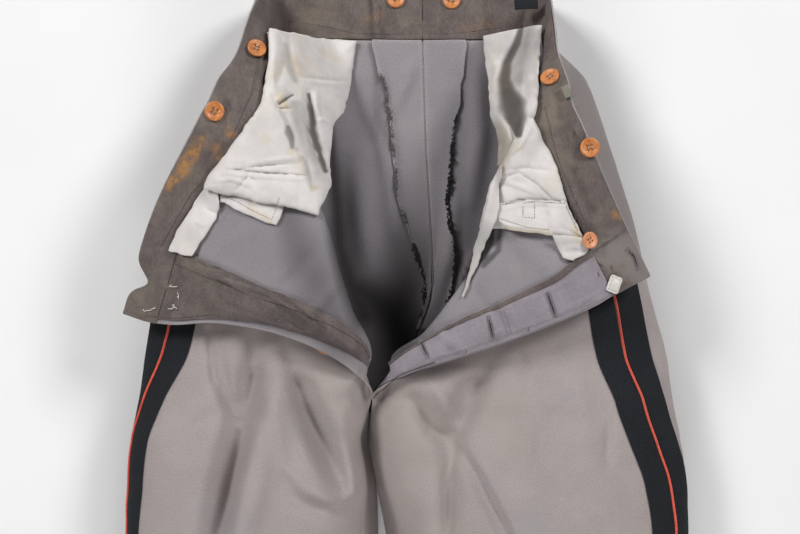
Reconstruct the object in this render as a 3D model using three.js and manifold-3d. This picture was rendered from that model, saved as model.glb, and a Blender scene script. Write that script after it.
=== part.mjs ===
// Military trousers lying on their back on a flat surface, with the fly open and both fronts turned out.
// Millimetres, +Z up, +Y towards the waist. Every cloth piece is cut from one wall surface for each half.
import * as THREE from "three";
import Module from "manifold-3d";
import { mergeVertices } from "three/addons/utils/BufferGeometryUtils.js";

// Driving dimensions
const clothThick = 1.8; // grey wool of fronts, backs and waistband
const facingThick = 1.1; // twill facings and seam allowances
const cottonThick = 1.0; // white pocketing
const bandThick = 1.2; // black side bands
const seamGap = 0.35; // between pieces that are sewn together
const bentSeamGap = 0.8; // the same where the side seam turns sharply under the turned-out front
const waistGap = 0.35; // more room between the waistband and its facing, which bend together
const bandWidth = 25.5; // each black band, on either side of the piping
const pipingWidth = 2.6;
const pipingThick = 2.4;
const braceButton = { radius: 8.6, thick: 2.8, rim: 0.7, hole: 1.0, spread: 1.9, sides: 16 };
const flyButton = { radius: 7.4, thick: 2.6, rim: 0.6, hole: 0.95, spread: 1.7, sides: 14 };

// The line where the two halves meet or part: the inseams of the legs, then the seat seam.
// at is the distance from the hem along the garment, gap is half the space between the legs,
// and fill is how far the back's cloth bulges into that space under the inseam.
const legClearance = 2.5; // from the middle line to the fullest bulge's control point
const middle = [
  { at: 0, y: -860, centre: 1, gap: 51, rise: 18, fill: 0 },
  { at: 150, y: -710, centre: -2, gap: 44, rise: 21, fill: 0 },
  { at: 300, y: -560, centre: -7, gap: 35, rise: 26, fill: 0 },
  { at: 460, y: -400, centre: -13, gap: 25, rise: 32, fill: 0.3 },
  { at: 617, y: -243, centre: -17.5, gap: 17.5, rise: 36, fill: 0.95 },
  { at: 662, y: -198, centre: -22.5, gap: 7.5, rise: 37, fill: 1 },
  { at: 702, y: -158, centre: -29.5, gap: 6.5, rise: 38, fill: 1 },
  { at: 726, y: -134, centre: -28, gap: 1, rise: 34, fill: 0.9 },
  { at: 742, y: -118, centre: -25, gap: 0.3, rise: 20, fill: 0 },
  { at: 781, y: -79, centre: 8, gap: 0.3, rise: 3, fill: 0 },
  { at: 846, y: -14, centre: 31, gap: 0.2, rise: 0, fill: 0 },
  { at: 911, y: 51, centre: 28, gap: 0.2, rise: 0, fill: 0 },
  { at: 977, y: 117, centre: 24, gap: 0.2, rise: 0, fill: 0 },
  { at: 1036, y: 176, centre: 22, gap: 0.2, rise: 0, fill: 0 },
  { at: 1072, y: 212, centre: 21, gap: 0.2, rise: 0, fill: 0 },
  { at: 1121, y: 261, centre: 21, gap: 0.2, rise: 0, fill: 0 },
];

// Closed sections of the legs: outer silhouette, height, height of the front's inner edge, side seam station.
const rightLeg = [
  { at: 0, outer: 268, height: 44, edge: 18, seam: 4.8 },
  { at: 150, outer: 262, height: 52, edge: 21, seam: 4.7 },
  { at: 300, outer: 261, height: 62, edge: 26, seam: 4.6 },
  { at: 460, outer: 261, height: 76, edge: 32, seam: 4.6 },
  { at: 617, outer: 262, height: 86, edge: 36, seam: 4.6 },
  { at: 662, outer: 261, height: 87, edge: 37, seam: 4.68 },
  { at: 702, outer: 256, height: 87, edge: 38, seam: 4.85 },
  { at: 726, outer: 252, height: 87, edge: 38, seam: 4.95 },
  { at: 742, outer: 249, height: 87, edge: 62, seam: 5.0 },
];
const leftLeg = [
  { at: 0, outer: -266, height: 44, edge: 18, seam: 4.8 },
  { at: 150, outer: -260, height: 52, edge: 21, seam: 4.65 },
  { at: 300, outer: -256, height: 64, edge: 26, seam: 4.45 },
  { at: 460, outer: -250, height: 82, edge: 32, seam: 4.25 },
  { at: 617, outer: -248, height: 95, edge: 36, seam: 4.08 },
  { at: 662, outer: -246, height: 96, edge: 37, seam: 4.14 },
  { at: 702, outer: -243, height: 96, edge: 38, seam: 4.22 },
  { at: 726, outer: -239, height: 95, edge: 38, seam: 4.35 },
  { at: 742, outer: -236, height: 94, edge: 62, seam: 4.45 },
];

// Open sections above the crotch: the outer silhouette, the shoulder above it, the crest where the front
// turns out, its bend, the middle of the turned-out front and its free edge, and the side seam station.
const rightOpen = [
  { at: 781, outer: [242, -81, 42], shoulder: 82,
    crest: [-7, -84, 87], bend: 4, mid: [-1, -90, 90], edge: [6, -97, 90], seam: 5.1 },
  { at: 846, outer: [227, -23, 42], shoulder: 82,
    crest: [22, -59, 98], bend: 6, mid: [35, -71, 103], edge: [47, -81, 100], seam: 5.15 },
  { at: 911, outer: [211, 46, 42], shoulder: 82,
    crest: [45, -31, 106], bend: 7, mid: [70, -53, 110], edge: [90, -67, 104], seam: 5.3 },
  { at: 977, outer: [191, 110, 42], shoulder: 80,
    crest: [68, 4, 110], bend: 7, mid: [106, -29, 115], edge: [134, -50, 106], seam: 5.55 },
  { at: 1036, outer: [169, 170, 42], shoulder: 76,
    crest: [92, 65, 112], bend: 8, mid: [137, 1, 116], edge: [173, -33, 104], seam: 6.1 },
  { at: 1072, outer: [131, 214, 40], side: [131, 185, 72], shoulder: 68,
    crest: [113, 134, 110], bend: 9, mid: [150, 48, 114], edge: [187, -25, 98], seam: 6.4 },
  { at: 1121, outer: [136, 247, 46], side: [141, 190, 88], shoulder: 92,
    crest: [151, 141, 120], bend: 9, mid: [189, 53, 116], edge: [221, -7, 86], seam: 6.6 },
];
const leftOpen = [
  { at: 781, outer: [-230, -77, 44], shoulder: 90,
    crest: [-27, -79, 89], bend: 4, mid: [-33, -85, 93], edge: [-42, -92, 93], seam: 4.75 },
  { at: 846, outer: [-221, -16, 44], shoulder: 88,
    crest: [-43, -39, 104], bend: 6, mid: [-63, -55, 110], edge: [-88, -65, 105], seam: 4.95 },
  { at: 911, outer: [-207, 50, 44], shoulder: 86,
    crest: [-54, -3, 110], bend: 7, mid: [-90, -32, 115], edge: [-130, -53, 105], seam: 5.1 },
  { at: 977, outer: [-189, 110, 44], shoulder: 82,
    crest: [-65, 37, 112], bend: 7, mid: [-120, -15, 116], edge: [-168, -49, 102], seam: 5.4 },
  { at: 1036, outer: [-165, 170, 44], shoulder: 78,
    crest: [-89, 86, 112], bend: 8, mid: [-155, 10, 112], edge: [-198, -51, 94], seam: 5.8 },
  { at: 1072, outer: [-125, 214, 40], side: [-118, 184, 76], shoulder: 68,
    crest: [-119, 140, 110], bend: 9, mid: [-177, 55, 106], edge: [-215, -50, 86], seam: 5.75 },
  { at: 1121, outer: [-129, 247, 46], side: [-147, 186, 86], shoulder: 92,
    crest: [-167, 145, 116], bend: 9, mid: [-218, 47, 98], edge: [-247, -41, 72], seam: 5.8 },
];

// Shares of a leg's width, from the outer side, and of its height, at stations 5 to 10.
const legArch = [
  { across: 0.12, up: 0.8 },
  { across: 0.48, up: 1 },
  { across: 0.8, up: 0.97 },
  { across: 0.88, up: 0.9 },
  { across: 0.94, up: 0.78 },
  { across: 0.98, up: 0.62 },
];
const backShares = [0.12, 0.5, 0.86]; // stations 1 to 3, where the back lies flat
const lastStation = 11;
const crotchAt = 742;
const waistSeamAt = 1072;
const waistTopAt = 1121;
const bandsEndAt = 1067; // the side bands stop just under the waistband

// The largest folds of the legs: soft ridges (up) and troughs (down) drawn on the plan.
const folds = [
  { from: [-158, -58], to: [-150, -138], depth: -9, width: 7 },
  { from: [-126, -70], to: [-167, -262], depth: -17, width: 15 },
  { from: [-106, -108], to: [-156, -300], depth: 9, width: 13 },
  { from: [-97, -78], to: [-54, -205], depth: -16, width: 14 },
  { from: [-99, -124], to: [-58, -212], depth: 9, width: 11 },
  { from: [-38, -118], to: [-36, -214], depth: 6, width: 9 },
  { from: [74, -78], to: [46, -158], depth: -12, width: 13 },
  { from: [12, -116], to: [46, -160], depth: -10, width: 11 },
  { from: [46, -156], to: [42, -262], depth: -8, width: 11 },
  { from: [57, -168], to: [100, -250], depth: -6, width: 6 },
  { from: [120, -90], to: [150, -260], depth: 4, width: 26 },
];

// The facing inside each fly edge and the rim of grey cloth left outside it, measured along the cloth
const rightFacing = [
  { at: 742, width: 12, rim: 3 },
  { at: 800, width: 22, rim: 2 },
  { at: 911, width: 38, rim: 1.5 },
  { at: 1036, width: 42, rim: 1.5 },
  { at: 1121, width: 42, rim: 1.5 },
];
const leftFacing = [
  { at: 742, width: 14, rim: 8 },
  { at: 800, width: 26, rim: 13 },
  { at: 911, width: 42, rim: 11 },
  { at: 1036, width: 58, rim: 5 },
  { at: 1121, width: 66, rim: 3 },
];
const facingStart = 752; // lowest level of both facings

// Seam allowances of the seat, laid open on the inside: their width at each level
const inlays = [
  { at: 800, left: 4, right: 5 },
  { at: 829, left: 6, right: 11 },
  { at: 875, left: 17, right: 21 },
  { at: 922, left: 31, right: 18 },
  { at: 982, left: 34, right: 29 },
  { at: 1016, left: 36, right: 36 },
  { at: 1072, left: 48, right: 41 },
];

// A dip in the upper edge of the left waistband near its end: distance from the end, depth and half-width
const notch = { from: 34, depth: 21, width: 10 };

// Pocket bags and stays, each a grid of rows from one side to the other, in the order they lie on each other
const pocketPieces = {
  fob_bag_left: { columns: 4, between: 2, rows: [
    { from: [-154, 79], to: [-102, 68] },
    { from: [-155, 67], to: [-101, 55] },
    { from: [-157, 57], to: [-108, 36] },
  ] },
  pocket_bag_left: { columns: 10, between: 2, rows: [
    { from: [-117, 212], to: [-41, 210] },
    { from: [-116, 182], to: [-45, 185] },
    { from: [-119, 146], to: [-50, 147] },
    { from: [-131, 121], to: [-61, 124] },
    { from: [-148, 95], to: [-62, 98] },
    { from: [-162, 75], to: [-61, 78] },
    { from: [-167, 68], to: [-71, 46] },
  ] },
  pocket_stay_left: { columns: 2, between: 1, reach: 4, lift: 0.4, rows: [
    { from: [-170, 66], to: [-157, 66] },
    { from: [-182, 50], to: [-158, 50] },
    { from: [-194, 32], to: [-169, 28] },
    { from: [-202, 15], to: [-181, 10] },
  ] },
  pocket_bag_right: { columns: 6, between: 2, rows: [
    { from: [78, 213], to: [123, 214] },
    { from: [80, 186], to: [121, 190] },
    { from: [81, 160], to: [117, 164] },
    { from: [82, 138], to: [115, 138] },
    { from: [92, 122], to: [118, 120] },
  ] },
  pocket_bag_lower_right: { columns: 8, between: 2, rows: [
    { from: [105, 130], to: [114, 128] },
    { from: [98, 108], to: [125, 104] },
    { from: [89, 91], to: [136, 86] },
    { from: [79, 69], to: [142, 64] },
    { from: [73, 46], to: [149, 42] },
    { from: [70, 34], to: [156, 30] },
  ] },
  fob_bag_right: { columns: 4, between: 2, rows: [
    { from: [83, 55], to: [142, 57] },
    { from: [84, 42], to: [151, 39] },
    { from: [92, 33], to: [158, 25] },
  ] },
  pocket_strip_right: { columns: 2, between: 3, reach: 6, lift: -1.7, rows: [
    { from: [73, 44], to: [82, 42] },
    { from: [67, 27], to: [80, 26] },
    { from: [59, 3], to: [68, 4] },
    { from: [55, -17], to: [60, -15] },
  ] },
  pocket_stay_right: { columns: 2, between: 2, reach: 4, lift: 0.3, rows: [
    { from: [132, 28], to: [157, 26] },
    { from: [137, 18], to: [163, 15] },
    { from: [142, 8], to: [151, 6] },
  ] },
};

// Where the small things are sewn, on the plan
const braceButtons = [
  { place: [-4, 250], gap: 0.3 },
  { place: [48, 249], gap: 0.3 },
  { place: [-128, 193], gap: 0.3 },
  { place: [-161, 135], gap: 0.3 },
  { place: [132, 166], gap: -0.7 },
  { place: [164, 103], gap: 0.3 },
];
const smallButton = [161, 23];
// the level of each and its distance from the edge
const flyButtons = [{ at: 822, in: 5 }, { at: 915, in: 16 }, { at: 1010, in: 18 }];
const hook = { place: [187, -15], turned: -20, width: 12, length: 15, thick: 1.2 };
const beltLoop = { place: [145, 151], turned: 25, width: 6, length: 11, thick: 1, rise: 2.2 };
const label = { from: [105, 245], to: [124, 242], height: 11 };

const lerp = THREE.MathUtils.lerp;
const smooth = THREE.MathUtils.smoothstep;

// The twelve control points of one section, from the middle line round the outer side to the front's edge.
function sectionPoints(side, leg, open, row) {
  const inner = middleAt(row.at);
  const start = new THREE.Vector3(inner.centre + side * inner.gap, inner.y, inner.rise);
  const outer = new THREE.Vector3(...(open ? row.outer : [row.outer, inner.y, 0.42 * row.height]));
  const points = [start];
  for (const share of backShares) {
    const y = lerp(inner.y, outer.y, share * share * share);
    const x = lerp(start.x, outer.x, share);
    const filled = lerp(x, inner.centre + side * legClearance, inner.fill);
    points.push(new THREE.Vector3(share === backShares[0] ? filled : x, y, 0));
  }
  points.push(outer);
  if (leg) {
    for (const { across, up } of legArch) {
      points.push(new THREE.Vector3(lerp(outer.x, start.x, across), inner.y, up * row.height));
    }
    points.push(new THREE.Vector3(start.x, inner.y, row.edge));
    return points;
  }
  const crest = new THREE.Vector3(...row.crest);
  const mid = new THREE.Vector3(...row.mid);
  const toOuter = outer.clone().sub(crest).setZ(0).normalize();
  const toMid = mid.clone().sub(crest).setZ(0);
  const over = Math.min(row.bend * 2.2, toMid.length() * 0.4);
  const underCrest = crest.clone().addScaledVector(toOuter, row.bend * 2.4);
  underCrest.z = crest.z - row.bend * 1.7;
  const flank = outer.clone().lerp(underCrest, 0.5).setZ(row.shoulder);
  if (row.side) flank.fromArray(row.side);
  points.push(outer.clone().lerp(flank, 0.28).setZ(lerp(outer.z, flank.z, 0.6)));
  points.push(flank);
  points.push(underCrest);
  points.push(crest.clone().setZ(crest.z - row.bend * 0.4));
  points.push(crest.clone().addScaledVector(toMid.normalize(), over).setZ(crest.z + 1));
  points.push(mid, new THREE.Vector3(...row.edge));
  return points;
}

function middleAt(at) {
  return middle.find((row) => row.at === at);
}

// Slopes of a monotone cubic through values at uneven knots.
function monotoneSlopes(knots, values) {
  const steps = knots.slice(1).map((k, i) => k - knots[i]);
  const rates = steps.map((h, i) => (values[i + 1] - values[i]) / h);
  return values.map((_, i) => {
    if (i === 0) return rates[0];
    if (i === values.length - 1) return rates[i - 1];
    const [before, after] = [rates[i - 1], rates[i]];
    if (before * after <= 0) return 0;
    const w1 = 2 * steps[i] + steps[i - 1];
    const w2 = steps[i] + 2 * steps[i - 1];
    return (w1 + w2) / (w1 / before + w2 / after);
  });
}

function hermite(a, b, slopeA, slopeB, t) {
  const t2 = t * t;
  const t3 = t2 * t;
  return (2 * t3 - 3 * t2 + 1) * a + (t3 - 2 * t2 + t) * slopeA + (3 * t2 - 2 * t3) * b + (t3 - t2) * slopeB;
}

// One half of the garment's wall: a point for each station round it and each distance from the hem.
class Half {
  constructor(side, legRows, openRows) {
    this.side = side;
    const rows = [...legRows, ...openRows];
    this.knots = rows.map((row) => row.at);
    const sections = rows.map((row, i) => sectionPoints(side, i < legRows.length, i >= legRows.length, row));
    this.tracks = sections[0].map((_, k) =>
      ["x", "y", "z"].map((axis) => {
        const values = sections.map((points) => points[k][axis]);
        return { values, slopes: monotoneSlopes(this.knots, values) };
      }),
    );
    const seams = rows.map((row) => row.seam);
    this.seamTrack = { values: seams, slopes: monotoneSlopes(this.knots, seams) };
    this.cache = new Map();
  }
  read(track, at) {
    let i = this.knots.findIndex((k) => k > at) - 1;
    if (i < 0) i = this.knots.length - 2;
    const h = this.knots[i + 1] - this.knots[i];
    const { values, slopes } = track;
    return hermite(values[i], values[i + 1], slopes[i] * h, slopes[i + 1] * h, (at - this.knots[i]) / h);
  }
  controls(at) {
    if (!this.cache.has(at)) {
      const place = (axes) => new THREE.Vector3(...axes.map((track) => this.read(track, at)));
      this.cache.set(at, this.tracks.map(place));
    }
    return this.cache.get(at);
  }
  // The section curve is a Catmull-Rom through the stations, centripetal so that close ones don't loop.
  bare(station, at) {
    const p = this.controls(at);
    const k = Math.min(Math.floor(station), lastStation - 1);
    const span = (i) => Math.sqrt(p[i].distanceTo(p[i + 1])) + 1e-6;
    const closed = 1 - smooth(at, crotchAt - 16, crotchAt + 16);
    const first = p[0].clone().multiplyScalar(2).sub(p[1]).lerp(p[lastStation - 1], closed);
    const before = (i) => (i > 0 ? p[i - 1] : first);
    const after = (i) =>
      i < lastStation ? p[i + 1] : p[i].clone().multiplyScalar(2).sub(p[i - 1]).lerp(p[1], closed);
    const slope = (i) => {
      const [h0, h1] = [Math.sqrt(p[i].distanceTo(before(i))), Math.sqrt(p[i].distanceTo(after(i)))];
      const fromBefore = p[i].clone().sub(before(i)).multiplyScalar(h1 / h0);
      const toAfter = after(i).clone().sub(p[i]).multiplyScalar(h0 / h1);
      return fromBefore.add(toAfter).divideScalar(h0 + h1);
    };
    const h = span(k);
    const [a, b] = [slope(k).multiplyScalar(h), slope(k + 1).multiplyScalar(h)];
    const t = station - k;
    const at3 = (axis) => hermite(p[k][axis], p[k + 1][axis], a[axis], b[axis], t);
    return new THREE.Vector3(at3("x"), at3("y"), Math.max(at3("z"), 0));
  }
  point(station, at) {
    const p = this.bare(station, at);
    const end = lerp(lastStation + 0.4, 7, smooth(at, crotchAt - 30, crotchAt + 30));
    const reach = smooth(station, 4.7, 5.5) * (1 - smooth(station, end - 1.4, end));
    if (reach > 0) p.z += reach * foldHeight(p.x, p.y);
    return p;
  }
  normal(station, at) {
    const [ds, dv] = [0.01, 1.5];
    const [s0, s1] = [Math.max(station - ds, 0), Math.min(station + ds, lastStation)];
    const [v0, v1] = [Math.max(at - dv, 0), Math.min(at + dv, waistTopAt)];
    const across = this.point(s1, at).sub(this.point(s0, at));
    const along = this.point(station, v1).sub(this.point(station, v0));
    return across.cross(along).multiplyScalar(-this.side).normalize();
  }
  seam(at) {
    return this.read(this.seamTrack, at);
  }
  // The station a real distance further round than another, at one level.
  walk(station, at, distance) {
    const step = Math.sign(distance) * 0.02;
    let [s, left] = [station, Math.abs(distance)];
    let p = this.point(s, at);
    while (left > 0 && s + step >= 0 && s + step <= lastStation) {
      const q = this.point(s + step, at);
      const d = q.distanceTo(p);
      if (d >= left) return s + (step * left) / d;
      left -= d;
      s += step;
      p = q;
    }
    return s;
  }
  // Real length from a station to the front's edge
  lengthTo(station, at) {
    const steps = 24;
    let length = 0;
    for (let i = 0; i < steps; i += 1) {
      const [a, b] = [i, i + 1].map((n) => this.point(lerp(station, lastStation, n / steps), at));
      length += a.distanceTo(b);
    }
    return length;
  }
  // Stations evenly spaced by real length between two others.
  spread(from, to, at, count) {
    const fine = 60;
    const lengths = [0];
    const stations = [from];
    for (let i = 1; i <= fine; i += 1) {
      stations.push(lerp(from, to, i / fine));
      lengths.push(lengths[i - 1] + this.point(stations[i], at).distanceTo(this.point(stations[i - 1], at)));
    }
    return Array.from({ length: count + 1 }, (_, c) => {
      const want = (lengths[fine] * c) / count;
      let i = lengths.findIndex((l) => l >= want - 1e-9);
      if (i < 1) i = 1;
      const share = (want - lengths[i - 1]) / (lengths[i] - lengths[i - 1] || 1);
      return lerp(stations[i - 1], stations[i], THREE.MathUtils.clamp(share, 0, 1));
    });
  }
}

function foldHeight(x, y) {
  let height = 0;
  for (const { from, to, depth, width } of folds) {
    const [dx, dy] = [to[0] - from[0], to[1] - from[1]];
    const t = THREE.MathUtils.clamp(((x - from[0]) * dx + (y - from[1]) * dy) / (dx * dx + dy * dy), 0, 1);
    const off = Math.hypot(x - from[0] - t * dx, y - from[1] - t * dy);
    height += depth * Math.exp(-((off / width) ** 2)) * Math.sin(Math.PI * (0.12 + 0.76 * t));
  }
  return height;
}

// A closed wall from a grid of {point, normal}, between two offsets along the normal.
function wallGeometry(grid, low, high) {
  const rows = grid.length;
  const columns = grid[0].length;
  const positions = [];
  for (const offset of [high, low]) {
    for (const line of grid) {
      for (const { point, normal } of line) {
        positions.push(...point.clone().addScaledVector(normal, offset).toArray());
      }
    }
  }
  const faces = [];
  const layer = rows * columns;
  const id = (r, c, l) => l * layer + r * columns + c;
  const quad = (a, b, c, d) => faces.push(a, b, c, a, c, d);
  for (let r = 0; r < rows - 1; r += 1) {
    for (let c = 0; c < columns - 1; c += 1) {
      quad(id(r, c, 0), id(r, c + 1, 0), id(r + 1, c + 1, 0), id(r + 1, c, 0));
      quad(id(r, c, 1), id(r + 1, c, 1), id(r + 1, c + 1, 1), id(r, c + 1, 1));
    }
  }
  const rim = [];
  for (let c = 0; c < columns - 1; c += 1) rim.push([0, c]);
  for (let r = 0; r < rows - 1; r += 1) rim.push([r, columns - 1]);
  for (let c = columns - 1; c > 0; c -= 1) rim.push([rows - 1, c]);
  for (let r = rows - 1; r > 0; r -= 1) rim.push([r, 0]);
  rim.forEach(([r, c], i) => {
    const [r2, c2] = rim[(i + 1) % rim.length];
    quad(id(r, c, 0), id(r, c, 1), id(r2, c2, 1), id(r2, c2, 0));
  });
  if (signedVolume(positions, faces) < 0) faces.reverse();
  const geometry = new THREE.BufferGeometry();
  geometry.setAttribute("position", new THREE.Float32BufferAttribute(positions, 3));
  geometry.setIndex(faces);
  geometry.computeVertexNormals();
  return geometry;
}

function signedVolume(positions, faces) {
  const corner = (i) => new THREE.Vector3().fromArray(positions, faces[i] * 3);
  let volume = 0;
  for (let i = 0; i < faces.length; i += 3) volume += corner(i).dot(corner(i + 1).cross(corner(i + 2)));
  return volume;
}

const materials = {
  wool: new THREE.MeshStandardMaterial({ color: 0x8d8784, roughness: 0.92 }),
  twill: new THREE.MeshStandardMaterial({ color: 0x6e6560, roughness: 0.85 }),
  cotton: new THREE.MeshStandardMaterial({ color: 0xd9d3cd, roughness: 0.9 }),
  black: new THREE.MeshStandardMaterial({ color: 0x1d1f22, roughness: 0.8 }),
  red: new THREE.MeshStandardMaterial({ color: 0xd0493c, roughness: 0.8 }),
  corozo: new THREE.MeshStandardMaterial({ color: 0xd08a4e, roughness: 0.35 }),
  metal: new THREE.MeshStandardMaterial({ color: 0xcfcac2, roughness: 0.35, metalness: 0.9 }),
};
const trousers = new THREE.Group();

function add(name, geometry, material) {
  const mesh = new THREE.Mesh(geometry, material);
  mesh.name = name;
  trousers.add(mesh);
  return mesh;
}

function levelsBetween(stops) {
  const levels = [];
  for (const [from, to, count] of stops) {
    for (let i = 0; i < count; i += 1) levels.push(lerp(from, to, i / count));
  }
  levels.push(stops[stops.length - 1][1]);
  return levels;
}

// Points of a wall in rows, one for each level, through the stations that stationsAt gives there.
// Beside the side seam the wall keeps the seam's own normal, so that the pieces don't lean into each other.
function wallGrid(half, levels, stationsAt) {
  return levels.map((at) =>
    stationsAt(at).map((station) => {
      const byTheSeam = Math.abs(station - half.seam(at)) < 0.07;
      return { point: half.point(station, at), normal: half.normal(byTheSeam ? half.seam(at) : station, at) };
    }),
  );
}

// Part of a grid, so that what is sewn on a panel follows the panel's own points.
function part(grid, rowFrom, rowTo, columnFrom, columnTo) {
  return grid.slice(rowFrom, rowTo + 1).map((line) => line.slice(columnFrom, columnTo + 1));
}

function tableValue(table, key, at) {
  const i = THREE.MathUtils.clamp(table.findIndex((row) => row.at > at), 1, table.length - 1);
  const share = THREE.MathUtils.clamp((at - table[i - 1].at) / (table[i].at - table[i - 1].at), 0, 1);
  return lerp(table[i - 1][key], table[i][key], share);
}

const halves = {
  right: { shape: new Half(1, rightLeg, rightOpen), flyFacing: rightFacing },
  left: { shape: new Half(-1, leftLeg, leftOpen), flyFacing: leftFacing },
};
const bandFrom = pipingWidth / 2 + seamGap;
const bandTo = bandFrom + bandWidth;
const sideGap = (at) => lerp(seamGap, bentSeamGap, smooth(at, 1000, 1060));
const backColumns = 8;
const bandColumns = 2;
const coverColumns = 7; // of the front from its band to the turn
const turn = [7, 7.5, 8, 8.6]; // stations round the crest, where the front turns out
const innerColumns = 4; // from the turn to the fly facing
const facingColumns = 2;

function backStations(half, at) {
  const seam = half.seam(at);
  const outer = half.walk(seam, at, -bandTo);
  const inner = half.walk(seam, at, -bandFrom - sideGap(at) + seamGap);
  return [
    ...half.spread(0, outer, at, backColumns),
    ...half.spread(outer, inner, at, bandColumns).slice(1),
    half.walk(seam, at, -sideGap(at) / 2),
  ];
}

function frontStations(half, at, facing, columns = facingColumns) {
  const seam = half.seam(at);
  const [inner, outer] = [half.walk(seam, at, bandFrom + sideGap(at) - seamGap), half.walk(seam, at, bandTo)];
  const edge = at < crotchAt ? half.walk(lastStation, at, -seamGap) : lastStation;
  const facingFrom = half.walk(edge, at, -tableValue(facing, "width", at));
  const facingTo = half.walk(edge, at, -tableValue(facing, "rim", at));
  return [
    half.walk(seam, at, sideGap(at) / 2),
    ...half.spread(inner, outer, at, bandColumns),
    ...half.spread(outer, turn[0], at, coverColumns).slice(1),
    ...turn.slice(1),
    ...half.spread(turn[turn.length - 1], facingFrom, at, innerColumns).slice(1),
    ...half.spread(facingFrom, facingTo, at, columns).slice(1),
    edge,
  ];
}

const levels = levelsBetween([
  [0, 600, 4],
  [600, crotchAt, 8],
  [crotchAt, 800, 4],
  [800, 1036, 7],
  [1036, bandsEndAt, 2],
  [bandsEndAt, waistSeamAt - seamGap, 1],
]);
const bandLevels = levelsBetween([[waistSeamAt + seamGap, waistTopAt, 2]]);
const underWool = clothThick + seamGap;
const waistEndColumns = 6;

// The waistband's rows follow the panels' stations. Its upper edge dips at the notch.
function waistGrid(half, facing, notched) {
  const end = notched ? waistEndColumns : facingColumns;
  return bandLevels.map((level) =>
    [...backStations(half, level), ...frontStations(half, level, facing, end).slice(1)].map((station) => {
      const fromEnd = half.lengthTo(station, waistSeamAt);
      const dip = notched ? notch.depth * Math.exp(-(((fromEnd - notch.from) / notch.width) ** 2)) : 0;
      const at = level - (dip * (level - bandLevels[0])) / (waistTopAt - bandLevels[0]);
      return { point: half.point(station, at), normal: half.normal(station, at) };
    }),
  );
}

// Heights of everything built so far, in square cells on the plan
const cell = 2;
const heights = new Map();
const cellKey = (i, j) => i * 4096 + j;

function recordHeights(mesh) {
  const positions = mesh.geometry.getAttribute("position");
  const index = mesh.geometry.index;
  const corner = new THREE.Vector3();
  for (let f = 0; f < index.count; f += 3) {
    const [a, b, c] = [0, 1, 2].map((k) => corner.clone().fromBufferAttribute(positions, index.getX(f + k)));
    const steps = Math.ceil((1.5 * Math.max(a.distanceTo(b), b.distanceTo(c), c.distanceTo(a))) / cell) + 1;
    for (let i = 0; i <= steps; i += 1) {
      for (let j = 0; j <= steps - i; j += 1) {
        const p = a.clone().multiplyScalar(1 - (i + j) / steps);
        p.addScaledVector(b, i / steps).addScaledVector(c, j / steps);
        const key = cellKey(Math.round(p.x / cell) + 512, Math.round(p.y / cell) + 512);
        if (!(heights.get(key) > p.z)) heights.set(key, p.z);
      }
    }
  }
}

function highest(x, y, reach) {
  const [ci, cj] = [Math.round(x / cell) + 512, Math.round(y / cell) + 512];
  const n = Math.ceil(reach / cell);
  let top = 0;
  for (let i = -n; i <= n; i += 1) {
    for (let j = -n; j <= n; j += 1) top = Math.max(top, heights.get(cellKey(ci + i, cj + j)) ?? 0);
  }
  return top;
}

// A soft surface over whatever lies below: the mean of the highest points round about
function drapedHeight(x, y, reach) {
  let sum = 0;
  for (let i = -1; i <= 1; i += 1) {
    for (let j = -1; j <= 1; j += 1) sum += highest(x + (i * reach) / 2, y + (j * reach) / 2, reach);
  }
  return sum / 9;
}

function drapedPoint(x, y, reach, lift) {
  const step = 3;
  const z = drapedHeight(x, y, reach);
  const normal = new THREE.Vector3(
    drapedHeight(x - step, y, reach) - drapedHeight(x + step, y, reach),
    drapedHeight(x, y - step, reach) - drapedHeight(x, y + step, reach),
    2 * step,
  ).normalize();
  return { point: new THREE.Vector3(x, y, z + lift), normal };
}

function drapedGrid(rows, columns, between, reach, lift) {
  const grid = [];
  for (let r = 0; r < (rows.length - 1) * between + 1; r += 1) {
    const i = Math.min(Math.floor(r / between), rows.length - 2);
    const t = r / between - i;
    const blend = (key) => [0, 1].map((k) => lerp(rows[i][key][k], rows[i + 1][key][k], t));
    const ends = [blend("from"), blend("to")];
    grid.push(Array.from({ length: columns + 1 }, (_, c) => {
      const [x, y] = [0, 1].map((k) => lerp(ends[0][k], ends[1][k], c / columns));
      return drapedPoint(x, y, reach, lift);
    }));
  }
  return grid;
}

// A four-hole button lying in the XY plane, its back at z = 0
function buttonGeometry({ radius, thick, rim, hole, spread, sides }) {
  const profile = [
    [0, 0], [radius - 1, 0], [radius, 1], [radius, thick - 0.6], [radius - 0.6, thick],
    [radius - 1.9, thick], [radius - 2.6, thick - rim], [0, thick - rim],
  ].map(([x, y]) => new THREE.Vector2(x, y));
  const disc = new THREE.LatheGeometry(profile, sides).rotateX(Math.PI / 2);
  let solid = toManifold(disc);
  for (const [i, j] of [[-1, -1], [-1, 1], [1, -1], [1, 1]]) {
    const drill = new THREE.CylinderGeometry(hole, hole, thick * 3, 5).rotateX(Math.PI / 2);
    solid = solid.subtract(toManifold(drill.translate((i * spread) / 1.3, (j * spread) / 1.3, 0)));
  }
  return fromManifold(solid);
}

const wasm = await Module();
wasm.setup();

function toManifold(geometry) {
  const bare = new THREE.BufferGeometry();
  bare.setAttribute("position", geometry.getAttribute("position").clone());
  bare.setIndex(geometry.index.clone());
  const merged = mergeVertices(bare, 1e-4);
  return new wasm.Manifold(new wasm.Mesh({
    numProp: 3,
    vertProperties: merged.getAttribute("position").array,
    triVerts: new Uint32Array(merged.index.array),
  }));
}

function fromManifold(solid) {
  const mesh = solid.getMesh();
  const geometry = new THREE.BufferGeometry();
  const corners = new THREE.BufferAttribute(new Float32Array(mesh.vertProperties), mesh.numProp);
  geometry.setAttribute("position", corners);
  geometry.setIndex([...mesh.triVerts]);
  geometry.computeVertexNormals();
  return geometry;
}

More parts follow.
